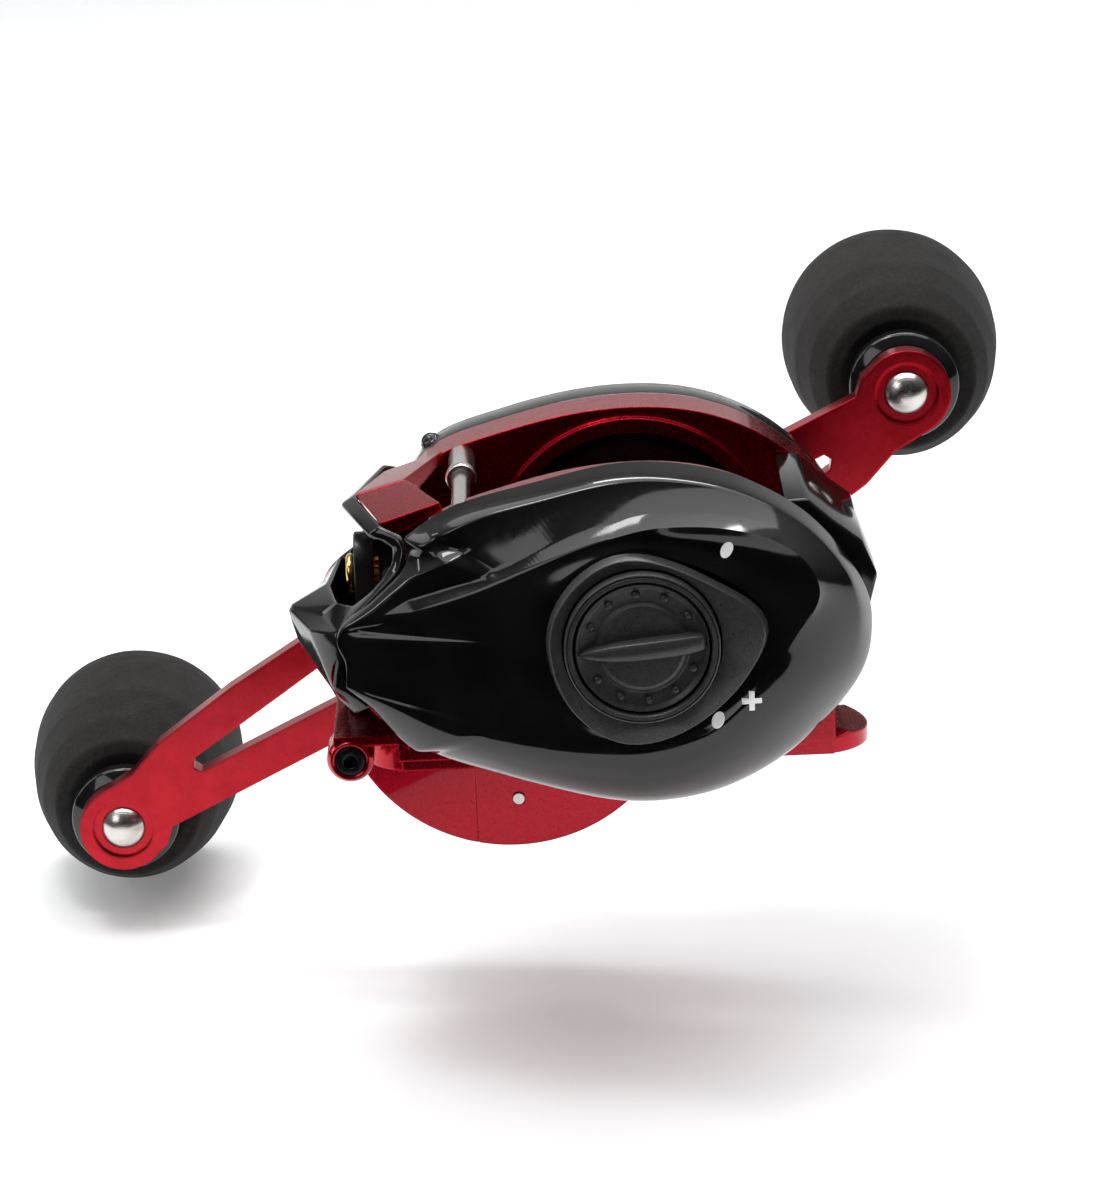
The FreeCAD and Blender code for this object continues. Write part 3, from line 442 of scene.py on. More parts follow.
def plastic(name, colour, rough, painted_glow=0.0):
    """Satin moulding or enamel; the glow value is emission, painted light that makes a white enamel brighter than
    the lamps light it.
    """
    s = Surface(name, colour, rough)
    s.shader.inputs["Emission Color"].default_value = (*colour, 1)
    s.shader.inputs["Emission Strength"].default_value = painted_glow
    s.colours(s.noise(1.5, 3), [(0.3, scaled(colour, 0.88)), (0.7, colour)])
    s.roughness(s.noise(0.4, 4), rough - 0.06, rough + 0.08)
    s.bump(s.noise(0.3, 3), 0.006, 0.3)
    return s.material


def woven_carbon(name):
    weave_mm = 0.9
    s = Surface(name, (0.03, 0.03, 0.03), 0.4, coat=0.3)
    weave = s.nodes.new("ShaderNodeTexChecker")
    weave.inputs["Scale"].default_value = 1 / (weave_mm * MM)
    weave.inputs["Color1"].default_value = (0.020, 0.020, 0.021, 1)
    weave.inputs["Color2"].default_value = (0.060, 0.060, 0.062, 1)
    s.links.new(s.where, weave.inputs["Vector"])
    s.links.new(weave.outputs["Color"], s.shader.inputs["Base Color"])
    s.bump(weave.outputs["Fac"], 0.02, 0.5)
    return s.material


MATERIALS = {
    "frame_red": candy_red("frame_red", (0.24, 0.002, 0.008), (0.40, 0.004, 0.016)),
    "handle_red": anodised_red("handle_red"),
    "gloss_black": gloss_black("gloss_black"),
    "cover_black": gloss_black("cover_black", 0.007, 0.12),
    "dial_black": textured_black("dial_black"),
    "eva_foam": foam("eva_foam"),
    "collar_black": gloss_black("collar_black", 0.006, 0.07),
    "nickel": metal("nickel", (0.66, 0.63, 0.60), 0.22, brushed=(1, 6, 1)),
    "steel": metal("steel", (0.56, 0.55, 0.54), 0.26, brushed=(1, 8, 1)),
    "bearing_steel": metal("bearing_steel", (0.62, 0.62, 0.62), 0.16),
    "black_steel": metal("black_steel", (0.030, 0.030, 0.033), 0.32),
    "gold_ring": metal("gold_ring", (0.86, 0.56, 0.16), 0.14),
    "spool_black": metal("spool_black", (0.035, 0.034, 0.036), 0.22, brushed=(1, 9, 1), anisotropic=0.3),
    "inductor": metal("inductor", (0.72, 0.72, 0.73), 0.24),
    "gear_brass": metal("gear_brass", (0.70, 0.50, 0.20), 0.24),
    "cog_nylon": plastic("cog_nylon", (0.78, 0.76, 0.70), 0.5),
    "drag_carbon": woven_carbon("drag_carbon"),
    "carriage_black": plastic("carriage_black", (0.014, 0.014, 0.015), 0.34),
    "worm_steel": metal("worm_steel", (0.52, 0.52, 0.53), 0.2),
    # mark_white glows: its emission is painted light that brightens the white marks
    "mark_white": plastic("mark_white", (0.93, 0.93, 0.92), 0.38, 0.30),
}


# ---- palm plate -----------------------------------------------------------
# Outlines as (x, z): the rim, its seam with the front cover, the raised leaf, the dial surround
PALM_OUTLINE = [(-30.1, 35.5), (-23.3, 39.4), (-13.1, 42.0), (-2.8, 44.1), (5.7, 43.8), (14.3, 41.4),
                (22.7, 35.9), (29, 27.4), (30.4, 20.5), (28.3, 13.2), (20.7, 4.8), (11.9, -0.5),
                (3, -2.5), (-5.8, -1.8), (-18.7, 2.0), (-29.5, 6.5), (-35.7, 13.2), (-38.6, 15.9)]
PALM_SEAM = [(-38.6, 15.9), (-38.5, 19.1), (-39.3, 23.0), (-34.5, 27.4), (-30.6, 31.2),
             (-29.8, 33.5), (-30.1, 35.5)]
LEAF = [(-38.7, 22.9), (-33.6, 24.9), (-28.1, 27.4), (-20.5, 30.3), (-14.1, 33.1), (-8, 35.6),
        (-3, 37.1), (2.2, 38.2), (9.5, 38.1), (15.8, 36.7), (20.2, 34.2), (22.6, 30.9), (22.8, 27.6),
        (20.0, 23.2), (16.4, 18.6), (12.4, 14.0), (8.6, 10.9), (4.5, 9.4), (0.6, 8.7), (-2.9, 8.7),
        (-8.5, 9.3), (-12.3, 10.1), (-17.0, 11.2), (-22.6, 12.5), (-27.7, 13.7), (-32.9, 14.8),
        (-36.6, 15.8), (-38.1, 18.4)]
SURROUND = [(-12.3, 23.5), (-11.2, 28.6), (-7.4, 33.0), (-2.0, 35.3), (4.0, 34.6), (10.2, 32.0),
            (15.2, 28.2), (16.3, 24.9), (14.8, 20.4), (11.2, 15.0), (6.4, 11.2), (0.5, 9.6),
            (-5.6, 11.4), (-10.3, 16.6)]
RIM_DEPTH = 15.1                     # depths are millimetres out from the middle, towards -Y
FACE_DEPTH, HOLE_DEPTH = 25.6, 24.6  # the leaf's face at the surround, and the turned-in edge there
SEAM_X, SEAM_FADE, SEAM_LIFT = -27.6, 2.6, 2.6       # the rim lifts here to meet the front cover
LOW_CREST = 0.9                      # how much further the leaf's crest stands out along its lower side
EDGE_GAP, CREST_RISE = 0.35, 0.2     # least distance of the crest in from the rim, and out from it
PALM_WALL = 1.1
PALM_SHARP = 50
# Sculpted wedge near the front seam: lower and upper corner at the seam, tip, depth of its step
CREASE = ((-29.3, 31.2), (-30.8, 34.0), (-21.4, 34.9), 2.3)
# Ledge above the leaf's crest: position along X, its drop and its width
LEDGE = [(-40, 0.2, 0.5), (-38, 0.7, 0.8), (-35.5, 1.6, 1.5), (-33, 2.4, 2.2), (-30, 2.9, 2.8),
         (-27, 2.3, 2.7), (-24, 1.3, 2.3), (-20, 0.7, 1.8), (-12, 0.5, 1.5), (0, 0.4, 1.4),
         (12, 0.4, 1.3), (20, 0.2, 1.0), (40, 0.0, 1.0)]


def smoothstep(t):
    t = np.clip(t, 0, 1)
    return t * t * (3 - 2 * t)


def crest_depth(x):
    """How far the leaf's crest stands out towards -Y: most at the rear, least at the nose."""
    rear_x, length, nose_depth, rear_extra = 23, 61.6, 17.4, 8.2
    return nose_depth + rear_extra * (1 - np.clip((rear_x - x) / length, 0, 1) ** 3)


def crease_drop(x, z, low, high, tip, step):
    """Depth taken off above a wedge that tapers from the seam to its tip."""
    least_width, relax_width, fade_end = 0.7, 2.6, 1.02
    axis = np.array(tip) - np.array(low)
    length = np.hypot(*axis)
    ux, uz = axis / length
    along = ((x - low[0]) * ux + (z - low[1]) * uz) / length
    across = -(x - low[0]) * uz + (z - low[1]) * ux
    width = math.hypot(high[0] - low[0], high[1] - low[1])
    fade = np.clip(fade_end - along, 0, 1)
    ramp = np.maximum(width * fade, least_width)
    rise = np.clip(across / ramp, 0, 1)
    relax = 1 - smoothstep((across - ramp) / relax_width)
    return step * fade * rise * (2 - rise) * relax * (across > 0)


def band_profile(t, upper):
    """Share of the rise from rim to crest at t along the band; `upper` is 1 on its upper side."""
    shoulder_end, shoulder_share = 0.20, 0.44
    shoulder = math.sin(min(t / shoulder_end, 1) * math.pi / 2)
    stepped = shoulder_share * shoulder + (1 - shoulder_share) * t ** 1.35
    plain = math.sin(t * math.pi / 2) ** 0.80
    return upper * stepped + (1 - upper) * plain


def palm_plate():
    """Gloss shell: rolled rim, a band up to the leaf's crest, then the dished leaf face."""
    count, band_rings, leaf_rings = 1080, 64, 16
    angles = np.linspace(0, 2 * math.pi, count, endpoint=False)
    cos, sin = np.cos(angles), np.sin(angles)
    edge = np.vstack([smooth_curve(PALM_OUTLINE, False)[:-1], smooth_curve(PALM_SEAM, False)[:-1]])
    r_edge = radius_by_angle(edge, SPOOL, angles)
    r_in = radius_by_angle(smooth_curve(SURROUND), SPOOL, angles) - EDGE_GAP
    r_leaf = np.minimum(radius_by_angle(smooth_curve(LEAF), SPOOL, angles), r_edge - EDGE_GAP)
    r_leaf = np.maximum(r_leaf, r_in + 2 * EDGE_GAP)
    x_edge, x_leaf = SPOOL[0] + r_edge * cos, SPOOL[0] + r_leaf * cos
    d_edge = RIM_DEPTH + SEAM_LIFT * smoothstep((SEAM_X - x_edge) / SEAM_FADE)
    d_crest = np.maximum(crest_depth(x_leaf) + LOW_CREST * smoothstep(-1.6 * sin), d_edge + CREST_RISE)

    upper = smoothstep(sin * 1.3 + 0.45)
    rings = [(r_edge, np.full(count, RIM_DEPTH)), (r_edge, d_edge)]
    for k in range(1, band_rings + 1):
        t = (k / band_rings) ** 1.25
        rings.append((r_edge + (r_leaf - r_edge) * t, d_edge + (d_crest - d_edge) * band_profile(t, upper)))
    tail = math.radians(335)                             # the face is neither dished nor hollowed here
    crisp = smoothstep(np.abs(np.angle(np.exp(1j * (angles - tail)))) / 0.9 - 0.35)
    for k in range(1, leaf_rings + 1):
        t = k / leaf_rings
        flat = FACE_DEPTH + (d_crest - FACE_DEPTH) * (1 - t) ** 1.5
        dip = 0.18 * math.sin(math.pi * min(t * 1.3, 1)) * crisp
        hollow = 0.9 * smoothstep(cos * 1.5 + sin * 0.6 - 0.6) * math.sin(math.pi * t) * crisp
        rings.append((r_leaf + (r_in - r_leaf) * t, flat - dip - hollow))
    rings.append((r_in, np.full(count, HOLE_DEPTH)))

    verts = []
    for r, depth in rings:
        x, z = SPOOL[0] + r * cos, SPOOL[1] + r * sin
        depth = depth - ledge_drop(r, r_leaf, r_edge, x_leaf, sin)
        on_band = smoothstep((r - r_leaf) / 0.8) * (depth > RIM_DEPTH + 0.05)
        depth = np.maximum(depth - crease_drop(x, z, *CREASE) * on_band, RIM_DEPTH)
        verts += list(zip(x, -depth, z))
    faces = ring_faces(len(rings), count)
    shell = piece_from("palm_shell", verts, faces, "palm_side", "gloss_black", ("palm_plate",), PALM_SHARP)
    thicken(shell, PALM_WALL)
    shade(shell, PALM_SHARP)
    return shell


def ledge_drop(r, r_leaf, r_edge, x_leaf, sin):
    """Depth taken off above the leaf's crest: a quick fall, then a slow return towards the rim."""
    ledge_x, drop, width = np.array(LEDGE).T
    fall = np.interp(x_leaf, ledge_x, drop) * smoothstep(sin * 3 - 0.1)
    span = np.interp(x_leaf, ledge_x, width)
    room = np.clip((r_edge - r_leaf) / (2.2 * span), 0, 1)
    step = np.clip((r - r_leaf) / (span * room + 1e-6), 0, 1)
    back = np.clip((r_edge - r) / (r_edge - r_leaf - span * room + 1e-6), 0, 1)
    return fall * room * np.where(step < 1, step * (2 - step) ** 0.7, back ** 1.2)


def resampled(outline, step):
    """The same closed outline with its edges cut into short pieces."""
    out = []
    for i, corner in enumerate(outline):
        a, b = np.array(corner, float), np.array(outline[(i + 1) % len(outline)], float)
        cuts = max(1, round(float(np.linalg.norm(b - a)) / step))
        out += [a + (b - a) * k / cuts for k in range(cuts)]
    return out


def drape(name, shell, outlines, slot, replaced):
    """Thin enamel marks laid on the shell's face, from (x, z) outlines."""
    lift, rim_lift, rings, step = 0.07, 0.02, 12, 0.12
    start, towards = -60, Vector((0, 1, 0))
    verts, faces = [], []
    for outline in outlines:
        outline = np.array(resampled(outline, step))
        centre = np.mean(outline, axis=0)
        base, n = len(verts), len(outline)
        for k in range(rings + 1):
            for x, z in centre + (outline - centre) * k / rings:
                _, where, _, _ = shell.ray_cast(Vector((x, start, z)) * MM, towards)
                verts.append((x, where.y / MM - (lift if k < rings else rim_lift), z))
        faces += [(base + k * n + i, base + k * n + j, base + (k + 1) * n + j, base + (k + 1) * n + i)
                  for k in range(rings) for i, j in neighbours(n)]
    piece_from(name, verts, faces, "palm_side", slot, replaced, 60)


def setting_marks(shell):
    """Two slanted oval dots at the ends of the dial's travel, and a plus sign."""
    long_half, short_half, lean = 1.12, 0.74, math.radians(62)
    outlines = []
    for x, z in ((11.3, 34.8), (9.5, 12.3)):
        oval = []
        for k in range(40):
            angle = 2 * math.pi * k / 40
            a, b = long_half * math.cos(angle), short_half * math.sin(angle)
            oval.append((x + a * math.cos(lean) - b * math.sin(lean),
                         z + a * math.sin(lean) + b * math.cos(lean)))
        outlines.append(oval)
    x, z, arm, half = 13.9, 14.8, 1.3, 0.36
    plus = [(arm, -half), (arm, half), (half, half), (half, arm), (-half, arm), (-half, half),
            (-arm, half), (-arm, -half), (-half, -half), (-half, -arm), (half, -arm), (half, -half)]
    outlines.append([(x + a, z + b) for a, b in plus])
    drape("setting_marks_skin", shell, outlines, "mark_white", ("setting_marks",))


# ---- front cover ----------------------------------------------------------
# Corners of the palm-side half, as (x, y, z), and the faces between them
COVER_POINTS = {
    "tip": (-46.8, 0, 21.6), "crease": (-43.6, -8, 20.9), "seam": (-39.7, -15.4, 22.6),
    "lip": (-41.7, -6, 22.3), "sill": (-41.1, 0, 24.6), "sill_side": (-39.9, -9.6, 25.1),
    "sill_end": (-37.4, -12.7, 25.6), "jamb_low": (-34.8, -14.2, 28.0), "jamb": (-33.2, -14.5, 29.9),
    "jamb_high": (-31.9, -14.4, 32.0), "jamb_top": (-31.9, -14.0, 33.9),
    "seam_low": (-34.9, -16.4, 27.3), "seam_mid": (-31.0, -16.2, 31.2),
    "seam_high": (-30.2, -15.6, 33.4), "corner": (-30.6, -14.6, 35.2), "band_low": (-34.9, -13.1, 35.1),
    "apex": (-39.0, 0, 35.6), "ridge": (-37.0, 0, 36.7), "band_high": (-33.3, -13.1, 36.5),
    "chin_top": (-46.4, 0, 19.8), "chin": (-45.6, 0, 16.8), "chin_side": (-43.0, -6.5, 15.1),
    "jaw": (-40.5, -15.3, 14.9), "seam_foot": (-38.9, -15.7, 16.1), "seam_cheek": (-38.9, -15.9, 19.2),
    "throat": (-40.6, 0, 12.6), "throat_side": (-40.3, -11, 12.3), "toe": (-35.3, -15.7, 12.4),
    "toe_low": (-37.9, -15.3, 11.2),
}
COVER_FACES = [
    ("tip", "lip", "sill_side", "sill"), ("tip", "crease", "lip"), ("crease", "seam", "lip"),
    ("lip", "seam", "sill_end", "sill_side"), ("sill_end", "seam", "seam_low", "jamb_low"),
    ("jamb_low", "seam_low", "seam_mid", "jamb"),
    ("jamb", "seam_mid", "jamb_high"), ("jamb_high", "seam_mid", "seam_high", "jamb_top"),
    ("jamb_top", "seam_high", "corner", "band_low"), ("band_low", "corner", "band_high"),
    ("apex", "band_low", "band_high", "ridge"),
    ("tip", "chin_top", "chin_side", "crease"), ("chin_top", "chin", "chin_side"),
    ("crease", "chin_side", "jaw"), ("crease", "jaw", "seam_cheek", "seam"),
    ("jaw", "seam_foot", "seam_cheek"),
    ("chin", "throat", "throat_side", "chin_side"), ("chin_side", "throat_side", "jaw"),
    ("jaw", "throat_side", "toe_low", "toe"), ("jaw", "toe", "seam_foot"),
]
HANDLE_HALF = 18.4 / 15.4            # the handle-side half is a mirror image, this much wider
COVER_WALL, COVER_EDGE, COVER_EDGE_ANGLE = 0.9, 0.45, 14
# Black plate on the frame's far wall, behind the window, as (x, z): painted shade where that wall lies dark
SHADE_PLATE = [(-41.0, 21.5), (-39.4, 13.4), (-30.6, 13.0), (-30.6, 32.6), (-33.4, 33.4)]
SHADE_PLATE_Y, SHADE_PLATE_WALL = 11.26, 0.2


def front_cover():
    """Faceted nose and cheeks round the line window, with the roof band over it."""
    names = list(COVER_POINTS)
    count = len(names)
    verts = [COVER_POINTS[name] for name in names]
    verts += [(x, -y * HANDLE_HALF, z) for x, y, z in verts]
    faces = []
    for face in COVER_FACES:
        ids = tuple(names.index(name) for name in face)
        faces += [ids, tuple(i + count for i in reversed(ids))]
    cover = piece_from("front_cover_skin", verts, faces, "frame", "gloss_black", ("front_cover",),
                       smooth=False)
    turn_outward(cover, (-38.0, 0, 24.0))
    thicken(cover, COVER_WALL)
    bevel(cover, COVER_EDGE, COVER_EDGE_ANGLE)
    shade(cover, 50)


def window_shade_plate():
    """Thin black plate: painted shade that darkens the frame's wall behind the window."""
    count = len(SHADE_PLATE)
    verts = [(x, y, z) for y in (SHADE_PLATE_Y, SHADE_PLATE_Y + SHADE_PLATE_WALL) for x, z in SHADE_PLATE]
    faces = [tuple(range(count)), tuple(range(2 * count - 1, count - 1, -1))]
    faces += [(i, i + count, j + count, j) for i, j in neighbours(count)]
    piece_from("window_shade_plate", verts, faces, "frame", "gloss_black")


def turn_outward(piece, inside):
    """Flips a sheet whose faces look towards a point rather than away from it."""
    middle = Vector(inside) * MM
    score = sum((f.center - middle).dot(f.normal) * f.area for f in piece.data.polygons)
    if score < 0:
        piece.data.flip_normals()


# ---- knobs and handle -----------------------------------------------------
def knob_foam(which):
    """Turned foam grip, with the slight unevenness of a cut and sanded foam."""
    bore, dented_from, dent_size = 5.02, 6, 0.012
    axis = KNOBS[which]
    low, high = node_box("knob_foam_" + which)
    rear, front, wide = high.y, low.y, (high.x - low.x) / 2
    profile = [(bore, front + 1.2), (6.9, front + 1.0, 0.8), (8.7, front, 0.9), (10.7, front + 0.5, 1.6),
               (13.0, front + 5.1, 6), (14.7, front + 11.5, 9), (15.65, front + 18.6, 9),
               (wide, rear - 7.4, 6), (15.5, rear - 3.4, 4), (13.4, rear - 0.7, 3), (10.3, rear, 2),
               (6.2, rear, 0.8), (bore, rear - 0.4)]
    verts, faces = lathe_mesh(axis, rounded(profile, 0.5, 8), 144)
    rng = np.random.default_rng(7)
    waves = [(rng.integers(2, 9), rng.uniform(0, 6.28), rng.uniform(0.1, 0.5)) for _ in range(6)]
    soft = []
    for x, y, z in verts:
        dx, dz = x - axis[0], z - axis[1]
        turn = math.atan2(dz, dx)
        r = math.hypot(dx, dz)
        dent = sum(math.sin(n * turn + phase + drift * y) for n, phase, drift in waves) * dent_size
        shrink = (r - abs(dent)) / r if r > dented_from else 1
        soft.append((axis[0] + dx * shrink, y, axis[1] + dz * shrink))
    foam_piece = piece_from("knob_foam_skin_" + which, soft, faces, which + "_knob", "eva_foam",
                            ("knob_foam_" + which,), 60)


def knob_collar(which):
    """Gloss flange at the handle, with a sleeve that runs through the foam."""
    bore, sleeve, flange = 2.8, 5.0, 7.9
    low, high = node_box("knob_collar_" + which)
    front, rear = low.y, high.y
    profile = [(bore, front), (6.4, front, 0.3), (flange, front + 1.0, 0.7), (flange, front + 3.2, 0.9),
               (6.9, front + 5.1, 0.8), (sleeve, front + 5.6, 0.5), (sleeve, rear), (3.4, rear, 0.2),
               (3.4, rear - 1.0), (bore, rear - 1.0)]
    lathe("knob_collar_skin_" + which, KNOBS[which], rounded(profile, 0.2, 5), which + "_knob",
          "collar_black", ("knob_collar_" + which,), 120)


def rivets():
    """Domed rivet heads with turning marks, on the knob spindles."""
    head, spindle, spindle_end, dome = 3.2, 2.0, 80.0, 1.45
    front = node_box("knob_posts")[0].y
    for which, axis in KNOBS.items():
        profile = [(0, front)]
        profile += [(r, front + dome * (r / head) ** 2.4 + 0.012 * math.sin(r * 22))
                    for r in np.linspace(0.1, 3.1, 30)]
        profile += [(head, front + 1.5), (head, front + 1.56), (spindle, front + 1.56),
                    (spindle, spindle_end), (0, spindle_end)]
        replaced = ("knob_posts",) if which == "front" else ()
        lathe("rivet_" + which, axis, profile, "handle", "nickel", replaced, 96, 50)


# ---- brake dial -----------------------------------------------------------
def dial_parts():
    """Ring, dished disc, ten raised dots and a pointed grip bar."""
    base = node_box("brake_dial")[0].y + 2.1
    inner, outer = 8.95, 10.0
    ring = [(inner, base + 0.5), (inner, base - 0.7, 0.08), (9.15, base - 0.95, 0.08),
            (9.55, base - 0.95, 0.06), (9.62, base - 0.70, 0.05), (9.72, base - 0.70, 0.05),
            (9.78, base - 0.9, 0.06), (outer, base - 0.75, 0.1), (outer, base + 2.0), (inner, base + 2.0)]
    lathe("dial_ring", SPOOL, rounded(ring, 0.1, 4), "brake_dial", "dial_black", ("brake_dial",), 180, 40)
    dish = [(0, base - 0.35), (5.2, base - 0.35), (5.6, base - 0.2, 0.2), (6.1, base + 0.25, 0.3),
            (7.9, base + 0.05, 0.5), (8.45, base - 0.35, 0.3), (8.6, base - 0.3, 0.1), (8.65, base + 1.4),
            (7.6, base + 1.6), (7.6, base + 5.9), (6.5, base + 5.9), (6.5, base + 1.6), (0, base + 1.6)]
    lathe("dial_disc", SPOOL, rounded(dish, 0.1, 4), "brake_dial", "dial_black", (), 180, 40)
    dial_dots(base)
    grip_bar(base)


def dial_dots(base):
    """Raised dots at every 30 degrees, except at the two ends of the grip bar."""
    circle, first = 7.15, 5
    dome = [(0, -0.5), (0.25, -0.46), (0.44, -0.34), (0.55, -0.14), (0.6, 0.3), (0, 0.3)]
    verts, faces = [], []
    for k in (1, 2, 3, 4, 5, 7, 8, 9, 10, 11):
        angle = math.radians(30 * k + first)
        axis = (SPOOL[0] + circle * math.cos(angle), SPOOL[1] + circle * math.sin(angle))
        dot_verts, dot_faces = lathe_mesh(axis, [(r, base + 0.1 + y) for r, y in dome], 24)
        faces += [tuple(i + len(verts) for i in face) for face in dot_faces]
        verts += dot_verts
    piece_from("dial_dots", verts, faces, "brake_dial", "dial_black", (), 60)


def grip_bar(base):
    """Blade across the dial, pointed at one end and tilted a little."""
    tilt = math.radians(4.5)
    # Along the blade: position, half width, top
    stations = [(-8.2, 0.10, -0.5), (-7.4, 0.5, -0.75), (-6.0, 0.9, -1.2), (-3.5, 1.25, -1.7),
                (0.0, 1.42, -2.0), (3.5, 1.45, -1.95), (6.0, 1.36, -1.6), (7.6, 1.15, -1.1),
                (8.1, 1.0, -0.6)]
    curve = smooth_curve(stations, False, 6)
    # Across the blade: share of the half width, and share of the top; above 0 is the buried root
    root, foot = 0.4, -0.2
    ring = [(-1.0, 0.6), (-1.0, 0.0), (-0.82, -0.84), (-0.68, -0.95), (0.0, -1.0), (0.68, -0.95),
            (0.82, -0.84), (1.0, 0.0), (1.0, 0.6)]
    verts, faces = [], []
    for along, half, top in curve:
        for across, level in ring:
            depth = root if level > 0 else (foot if level == 0 else -top * level)
            side = across * half
            verts.append((SPOOL[0] + along * math.cos(tilt) - side * math.sin(tilt), base + depth,
                          SPOOL[1] + along * math.sin(tilt) + side * math.cos(tilt)))
    n = len(ring)
    for i in range(len(curve) - 1):
        faces += [(i * n + k, i * n + m, (i + 1) * n + m, (i + 1) * n + k) for k, m in neighbours(n)]
    faces.append(tuple(range(n)))
    faces.append(tuple(range(len(verts) - 1, len(verts) - n - 1, -1)))
    piece_from("dial_grip", verts, faces, "brake_dial", "dial_black", (), 45)


def lug_collar():
    """Cast collar round the socket screw at the front of the foot."""
    bore, outer, length = 1.95, 3.15, 6.0
    low, high = node_box("lug_screw")
    axis = ((low.x + high.x) / 2, (low.z + high.z) / 2)
    profile = [(bore, low.y + 0.3), (2.5, low.y - 0.1, 0.3), (outer, low.y + 0.9, 0.9),
               (outer, low.y + length, 0.6), (bore, low.y + length)]
    lathe("lug_collar", axis, rounded(profile, 0.2, 5), "frame", "frame_red", (), 72, 50)


# ---- spool and level wind -------------------------------------------------
def spool_skin():
    """Spool with two flanges, a waisted drum, open ends and a hub on the shaft."""
    half, flange, flange_in, drum, shell, hub, bore = 12.6, 16.9, 15.4, 9.2, 8.2, 3, 1.52
    profile = [(bore, -3), (hub, -3), (hub, -2), (shell, -2), (shell, -11.4), (flange_in, -half, 0.3),
               (flange, -half, 0.25), (flange, -11.7, 0.25), (15.6, -11.6, 0.4), (drum, -10.3, 1.2),
               (drum, 10.3, 1.2), (15.6, 11.6, 0.4), (flange, 11.7, 0.25), (flange, half, 0.25),
               (flange_in, half, 0.3), (shell, 11.4), (shell, 0), (hub, 0), (hub, 6), (bore, 6)]
    lathe("spool_skin", SPOOL, rounded(profile, 0.15, 4), "spool", "spool_black", ("spool",), 180, 30)


def worm_skin():
    """Level-wind screw: a right-hand and a left-hand groove that cross each other."""
    steps, rows = 64, 190
    half_length, groove_end, pitch = 11.2, 8.6, 5.2
    radius, groove_depth, groove_half, flank = 2.28, 0.75, 1.05, 0.45
    verts = []
    for y in np.linspace(-half_length, half_length, rows):
        for k in range(steps):
            angle = 2 * math.pi * k / steps
            near = min(abs((y / pitch - hand * k / steps) % 1.0 - 0.5) * pitch for hand in (1, -1))
            cut = float(smoothstep(np.array((groove_half - near) / flank))) if abs(y) < groove_end else 0.0
            r = radius - groove_depth * cut
            verts.append((WORM[0] + r * math.cos(angle), y, WORM[1] + r * math.sin(angle)))
    faces = ring_faces(rows, steps)
    faces.append(tuple(range(steps)))
    faces.append(tuple((rows - 1) * steps + k for k in reversed(range(steps))))
    piece_from("worm_screw", verts, faces, "worm", "worm_steel", ("worm_shaft",), 40)
    journal, start, chamfer = 1.48, 11.1, 0.3
    for name, side, end in (("worm_end_palm", -1, -14.6), ("worm_end_drive", 1, 17.9)):
        profile = [(0, side * start), (journal, side * start), (journal, end - side * chamfer),
                   (1.2, end), (0, end)]
        lathe(name, WORM, profile, "worm", "worm_steel")


# ---- stage ----------------------------------------------------------------
# Lights: place and target in metres, width and height in metres, watts
LIGHTS = {
    "top_soft": ((0.0, 0.05, 0.95), (0, 0.0, 0), 1.5, 1.1, 11.0),
    "rear_strip": ((0.05, 0.42, 0.70), (0, 0.02, 0.02), 0.45, 0.07, 1.7),
    "front_fill": ((-0.65, -0.70, 0.55), (-0.02, 0, 0), 0.45, 0.45, 1.3),
    "left_strip": ((-0.75, 0.10, 0.35), (-0.02, 0, 0.01), 0.10, 0.5, 0.9),
    "top_spark": ((-0.22, -0.10, 0.80), (-0.02, 0, 0.02), 0.22, 0.16, 1.5),
}
PAPER_GLOW = 0.18
FLOOR_GAP, BOWL_GAP = 1.2, 0.2       # floor under the lowest knob, and bowl under the floor


def camera():
    """The photograph's view: level with the front, 18 degrees above, slightly rolled."""
    eye = Vector((-10.6, -572.8, 208.0)) * MM
    down, roll, focal_px, long_side_px = 18.0, 2.4, 4500, 1187
    data = bpy.data.cameras.new("camera")
    data.sensor_width = 36
    data.lens = focal_px / long_side_px * data.sensor_width
    data.clip_start, data.clip_end = 0.01, 20
    turn = Matrix.Rotation(math.radians(90 - down), 4, "X") @ Matrix.Rotation(math.radians(-roll), 4, "Z")
    item = placed("camera", data)
    item.matrix_world = Matrix.Translation(eye) @ turn
    bpy.context.scene.camera = item
    bpy.context.scene.view_settings.view_transform = "Standard"


def area_light(name, place, target, width, height, power):
    data = bpy.data.lights.new(name, "AREA")
    data.shape = "RECTANGLE"
    data.size, data.size_y = width, height
    data.energy = power
    light = placed(name, data)
    light.location = place
    aim = Vector(target) - Vector(place)
    light.rotation_euler = aim.to_track_quat("-Z", "Y").to_euler()


def stage_piece(name, verts, faces, surface):
    piece = mesh_object(name, verts, faces)
    piece.data.materials.append(surface.material)
    for polygon in piece.data.polygons:
        polygon.use_smooth = True
    return piece


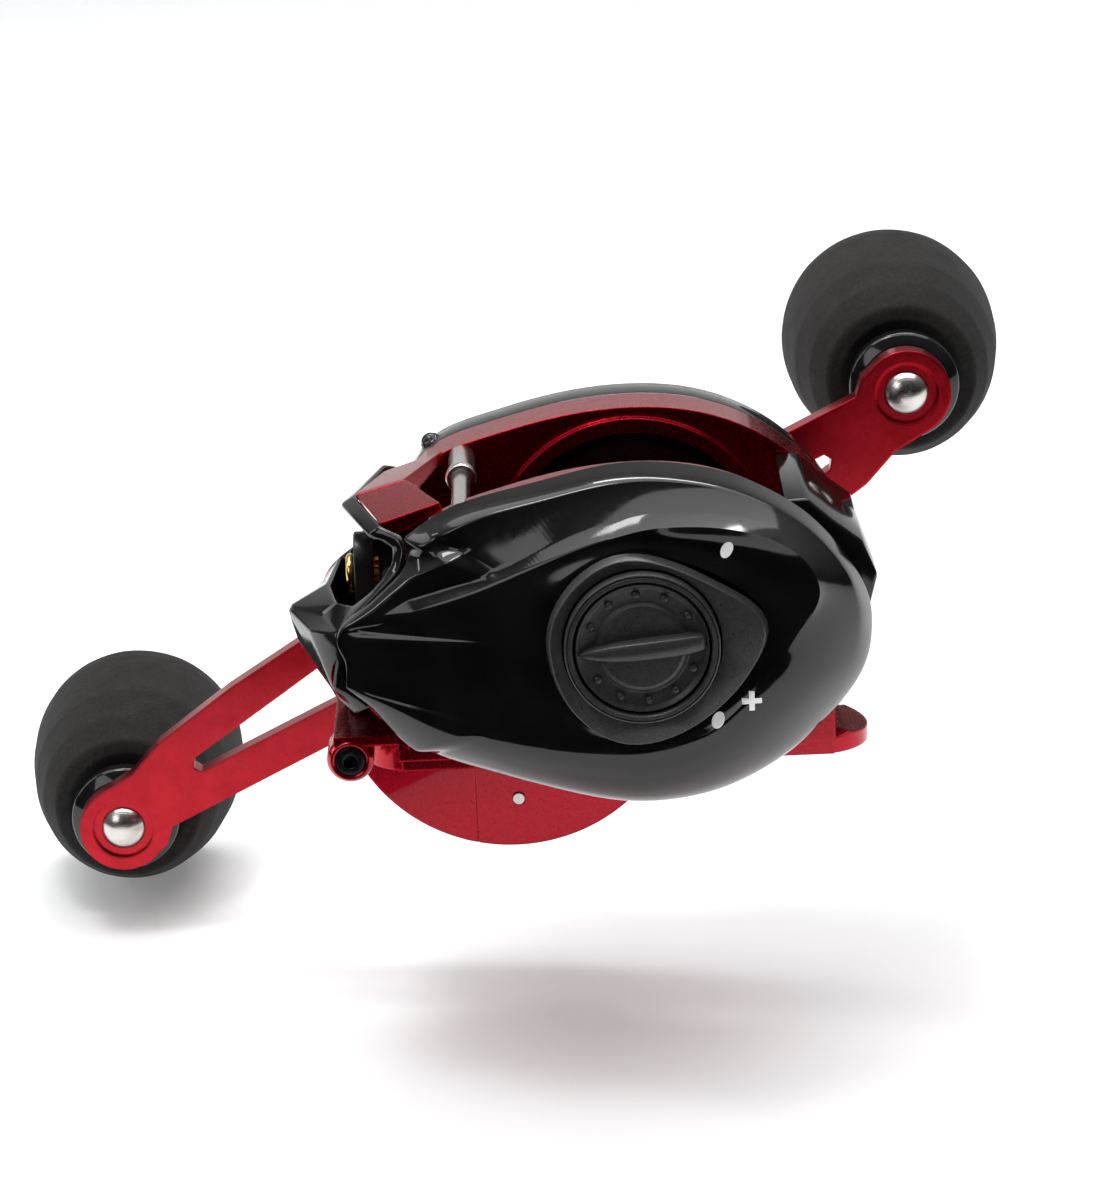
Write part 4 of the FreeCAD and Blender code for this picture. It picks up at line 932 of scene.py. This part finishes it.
def studio():
    """White table that turns up into a cove, in a pale bowl that only the camera sees."""
    floor_z = node_box("knob_foam_front")[0].z - FLOOR_GAP
    cove_start, cove_radius, cove_top = 1000, 500, 1700
    cove = [(cove_start + cove_radius * math.sin(a), cove_radius - cove_radius * math.cos(a))
            for a in np.linspace(0.08, math.pi / 2, 24)]
    cove = [(cove_start, 0)] + cove + [(cove_start + cove_radius, cove_top)]
    # The table's front edge, as (x, y): what it leaves free reflects dark in the gloss black
    front_edge = [(-1400, -66), (-40, -70), (40, -170), (1400, -170)]
    verts = [(x, near, floor_z) for x, near in front_edge]
    verts += [(x, y, floor_z + rise) for y, rise in cove for x, _ in front_edge]
    count = len(front_edge)
    faces = [(i * count + k, i * count + k + 1, (i + 1) * count + k + 1, (i + 1) * count + k)
             for i in range(len(cove)) for k in range(count - 1)]
    paper = Surface("paper", (0.90, 0.905, 0.91), 0.6)
    paper.roughness(paper.noise(2.0, 3), 0.55, 0.7)
    paper.shader.inputs["Emission Color"].default_value = (0.98, 0.99, 1.0, 1)
    paper.shader.inputs["Emission Strength"].default_value = PAPER_GLOW
    stage_piece("floor", verts, faces, paper)
    rings = [(0, 0), (500, 0)] + cove
    steps = 96
    turns = [2 * math.pi * k / steps for k in range(steps)]
    verts = [(r * math.cos(turn), r * math.sin(turn), floor_z - BOWL_GAP + rise)
             for r, rise in rings for turn in turns]
    bowl = stage_piece("bowl", verts, ring_faces(len(rings), steps), paper)
    bowl.visible_glossy = False
    bowl.visible_diffuse = False
    bowl.visible_shadow = False


def room_light():
    """White surroundings, brightest above and behind."""
    world = bpy.data.worlds.new("studio")
    bpy.context.scene.world = world
    world.use_nodes = True
    nodes, links = world.node_tree.nodes, world.node_tree.links
    parts = nodes.new("ShaderNodeSeparateXYZ")
    links.new(nodes.new("ShaderNodeTexCoord").outputs["Generated"], parts.inputs[0])
    both = nodes.new("ShaderNodeMath")
    both.operation = "MULTIPLY"
    links.new(map_range(nodes, links, parts.outputs["Z"], 0.04, 0.55, 0.05, 0.80), both.inputs[0])
    links.new(map_range(nodes, links, parts.outputs["Y"], 0.15, 1.0, -0.70, 0.30), both.inputs[1])
    links.new(both.outputs[0], nodes["Background"].inputs["Strength"])
    nodes["Background"].inputs["Color"].default_value = (1, 1, 1, 1)


# ---- build ----------------------------------------------------------------
# CAD nodes shown as a copy with rounded edges, and the width of the rounding
ROUNDED = {
    "gear_side_plate": 0.6, "thumb_bar": 0.5, "dial_surround": 0.2, "star_drag": 0.4,
    "cast_control_cap": 0.25, "carriage": 0.25, "nut_retainer": 0.2, "handle_nut": 0.2,
    "lug_screw": 0.15, "pawl_cap": 0.2, "side_plate_screws": 0.12, "brake_housing": 0.15,
    "guide_rod_sleeve": 0.1,
}

for node, part in frame["nodes"].items():
    paint(part, RECORD_SLOT[node])
bpy.context.view_layer.update()
setting_marks(palm_plate())
front_cover()
# black plate of painted shade behind the line window
window_shade_plate()
for which in KNOBS:
    knob_foam(which)
    knob_collar(which)
rivets()
lug_collar()
dial_parts()
spool_skin()
worm_skin()
for node, width in ROUNDED.items():
    refined(node, width)
camera()
for name, settings in LIGHTS.items():
    area_light(name, *settings)
studio()
room_light()
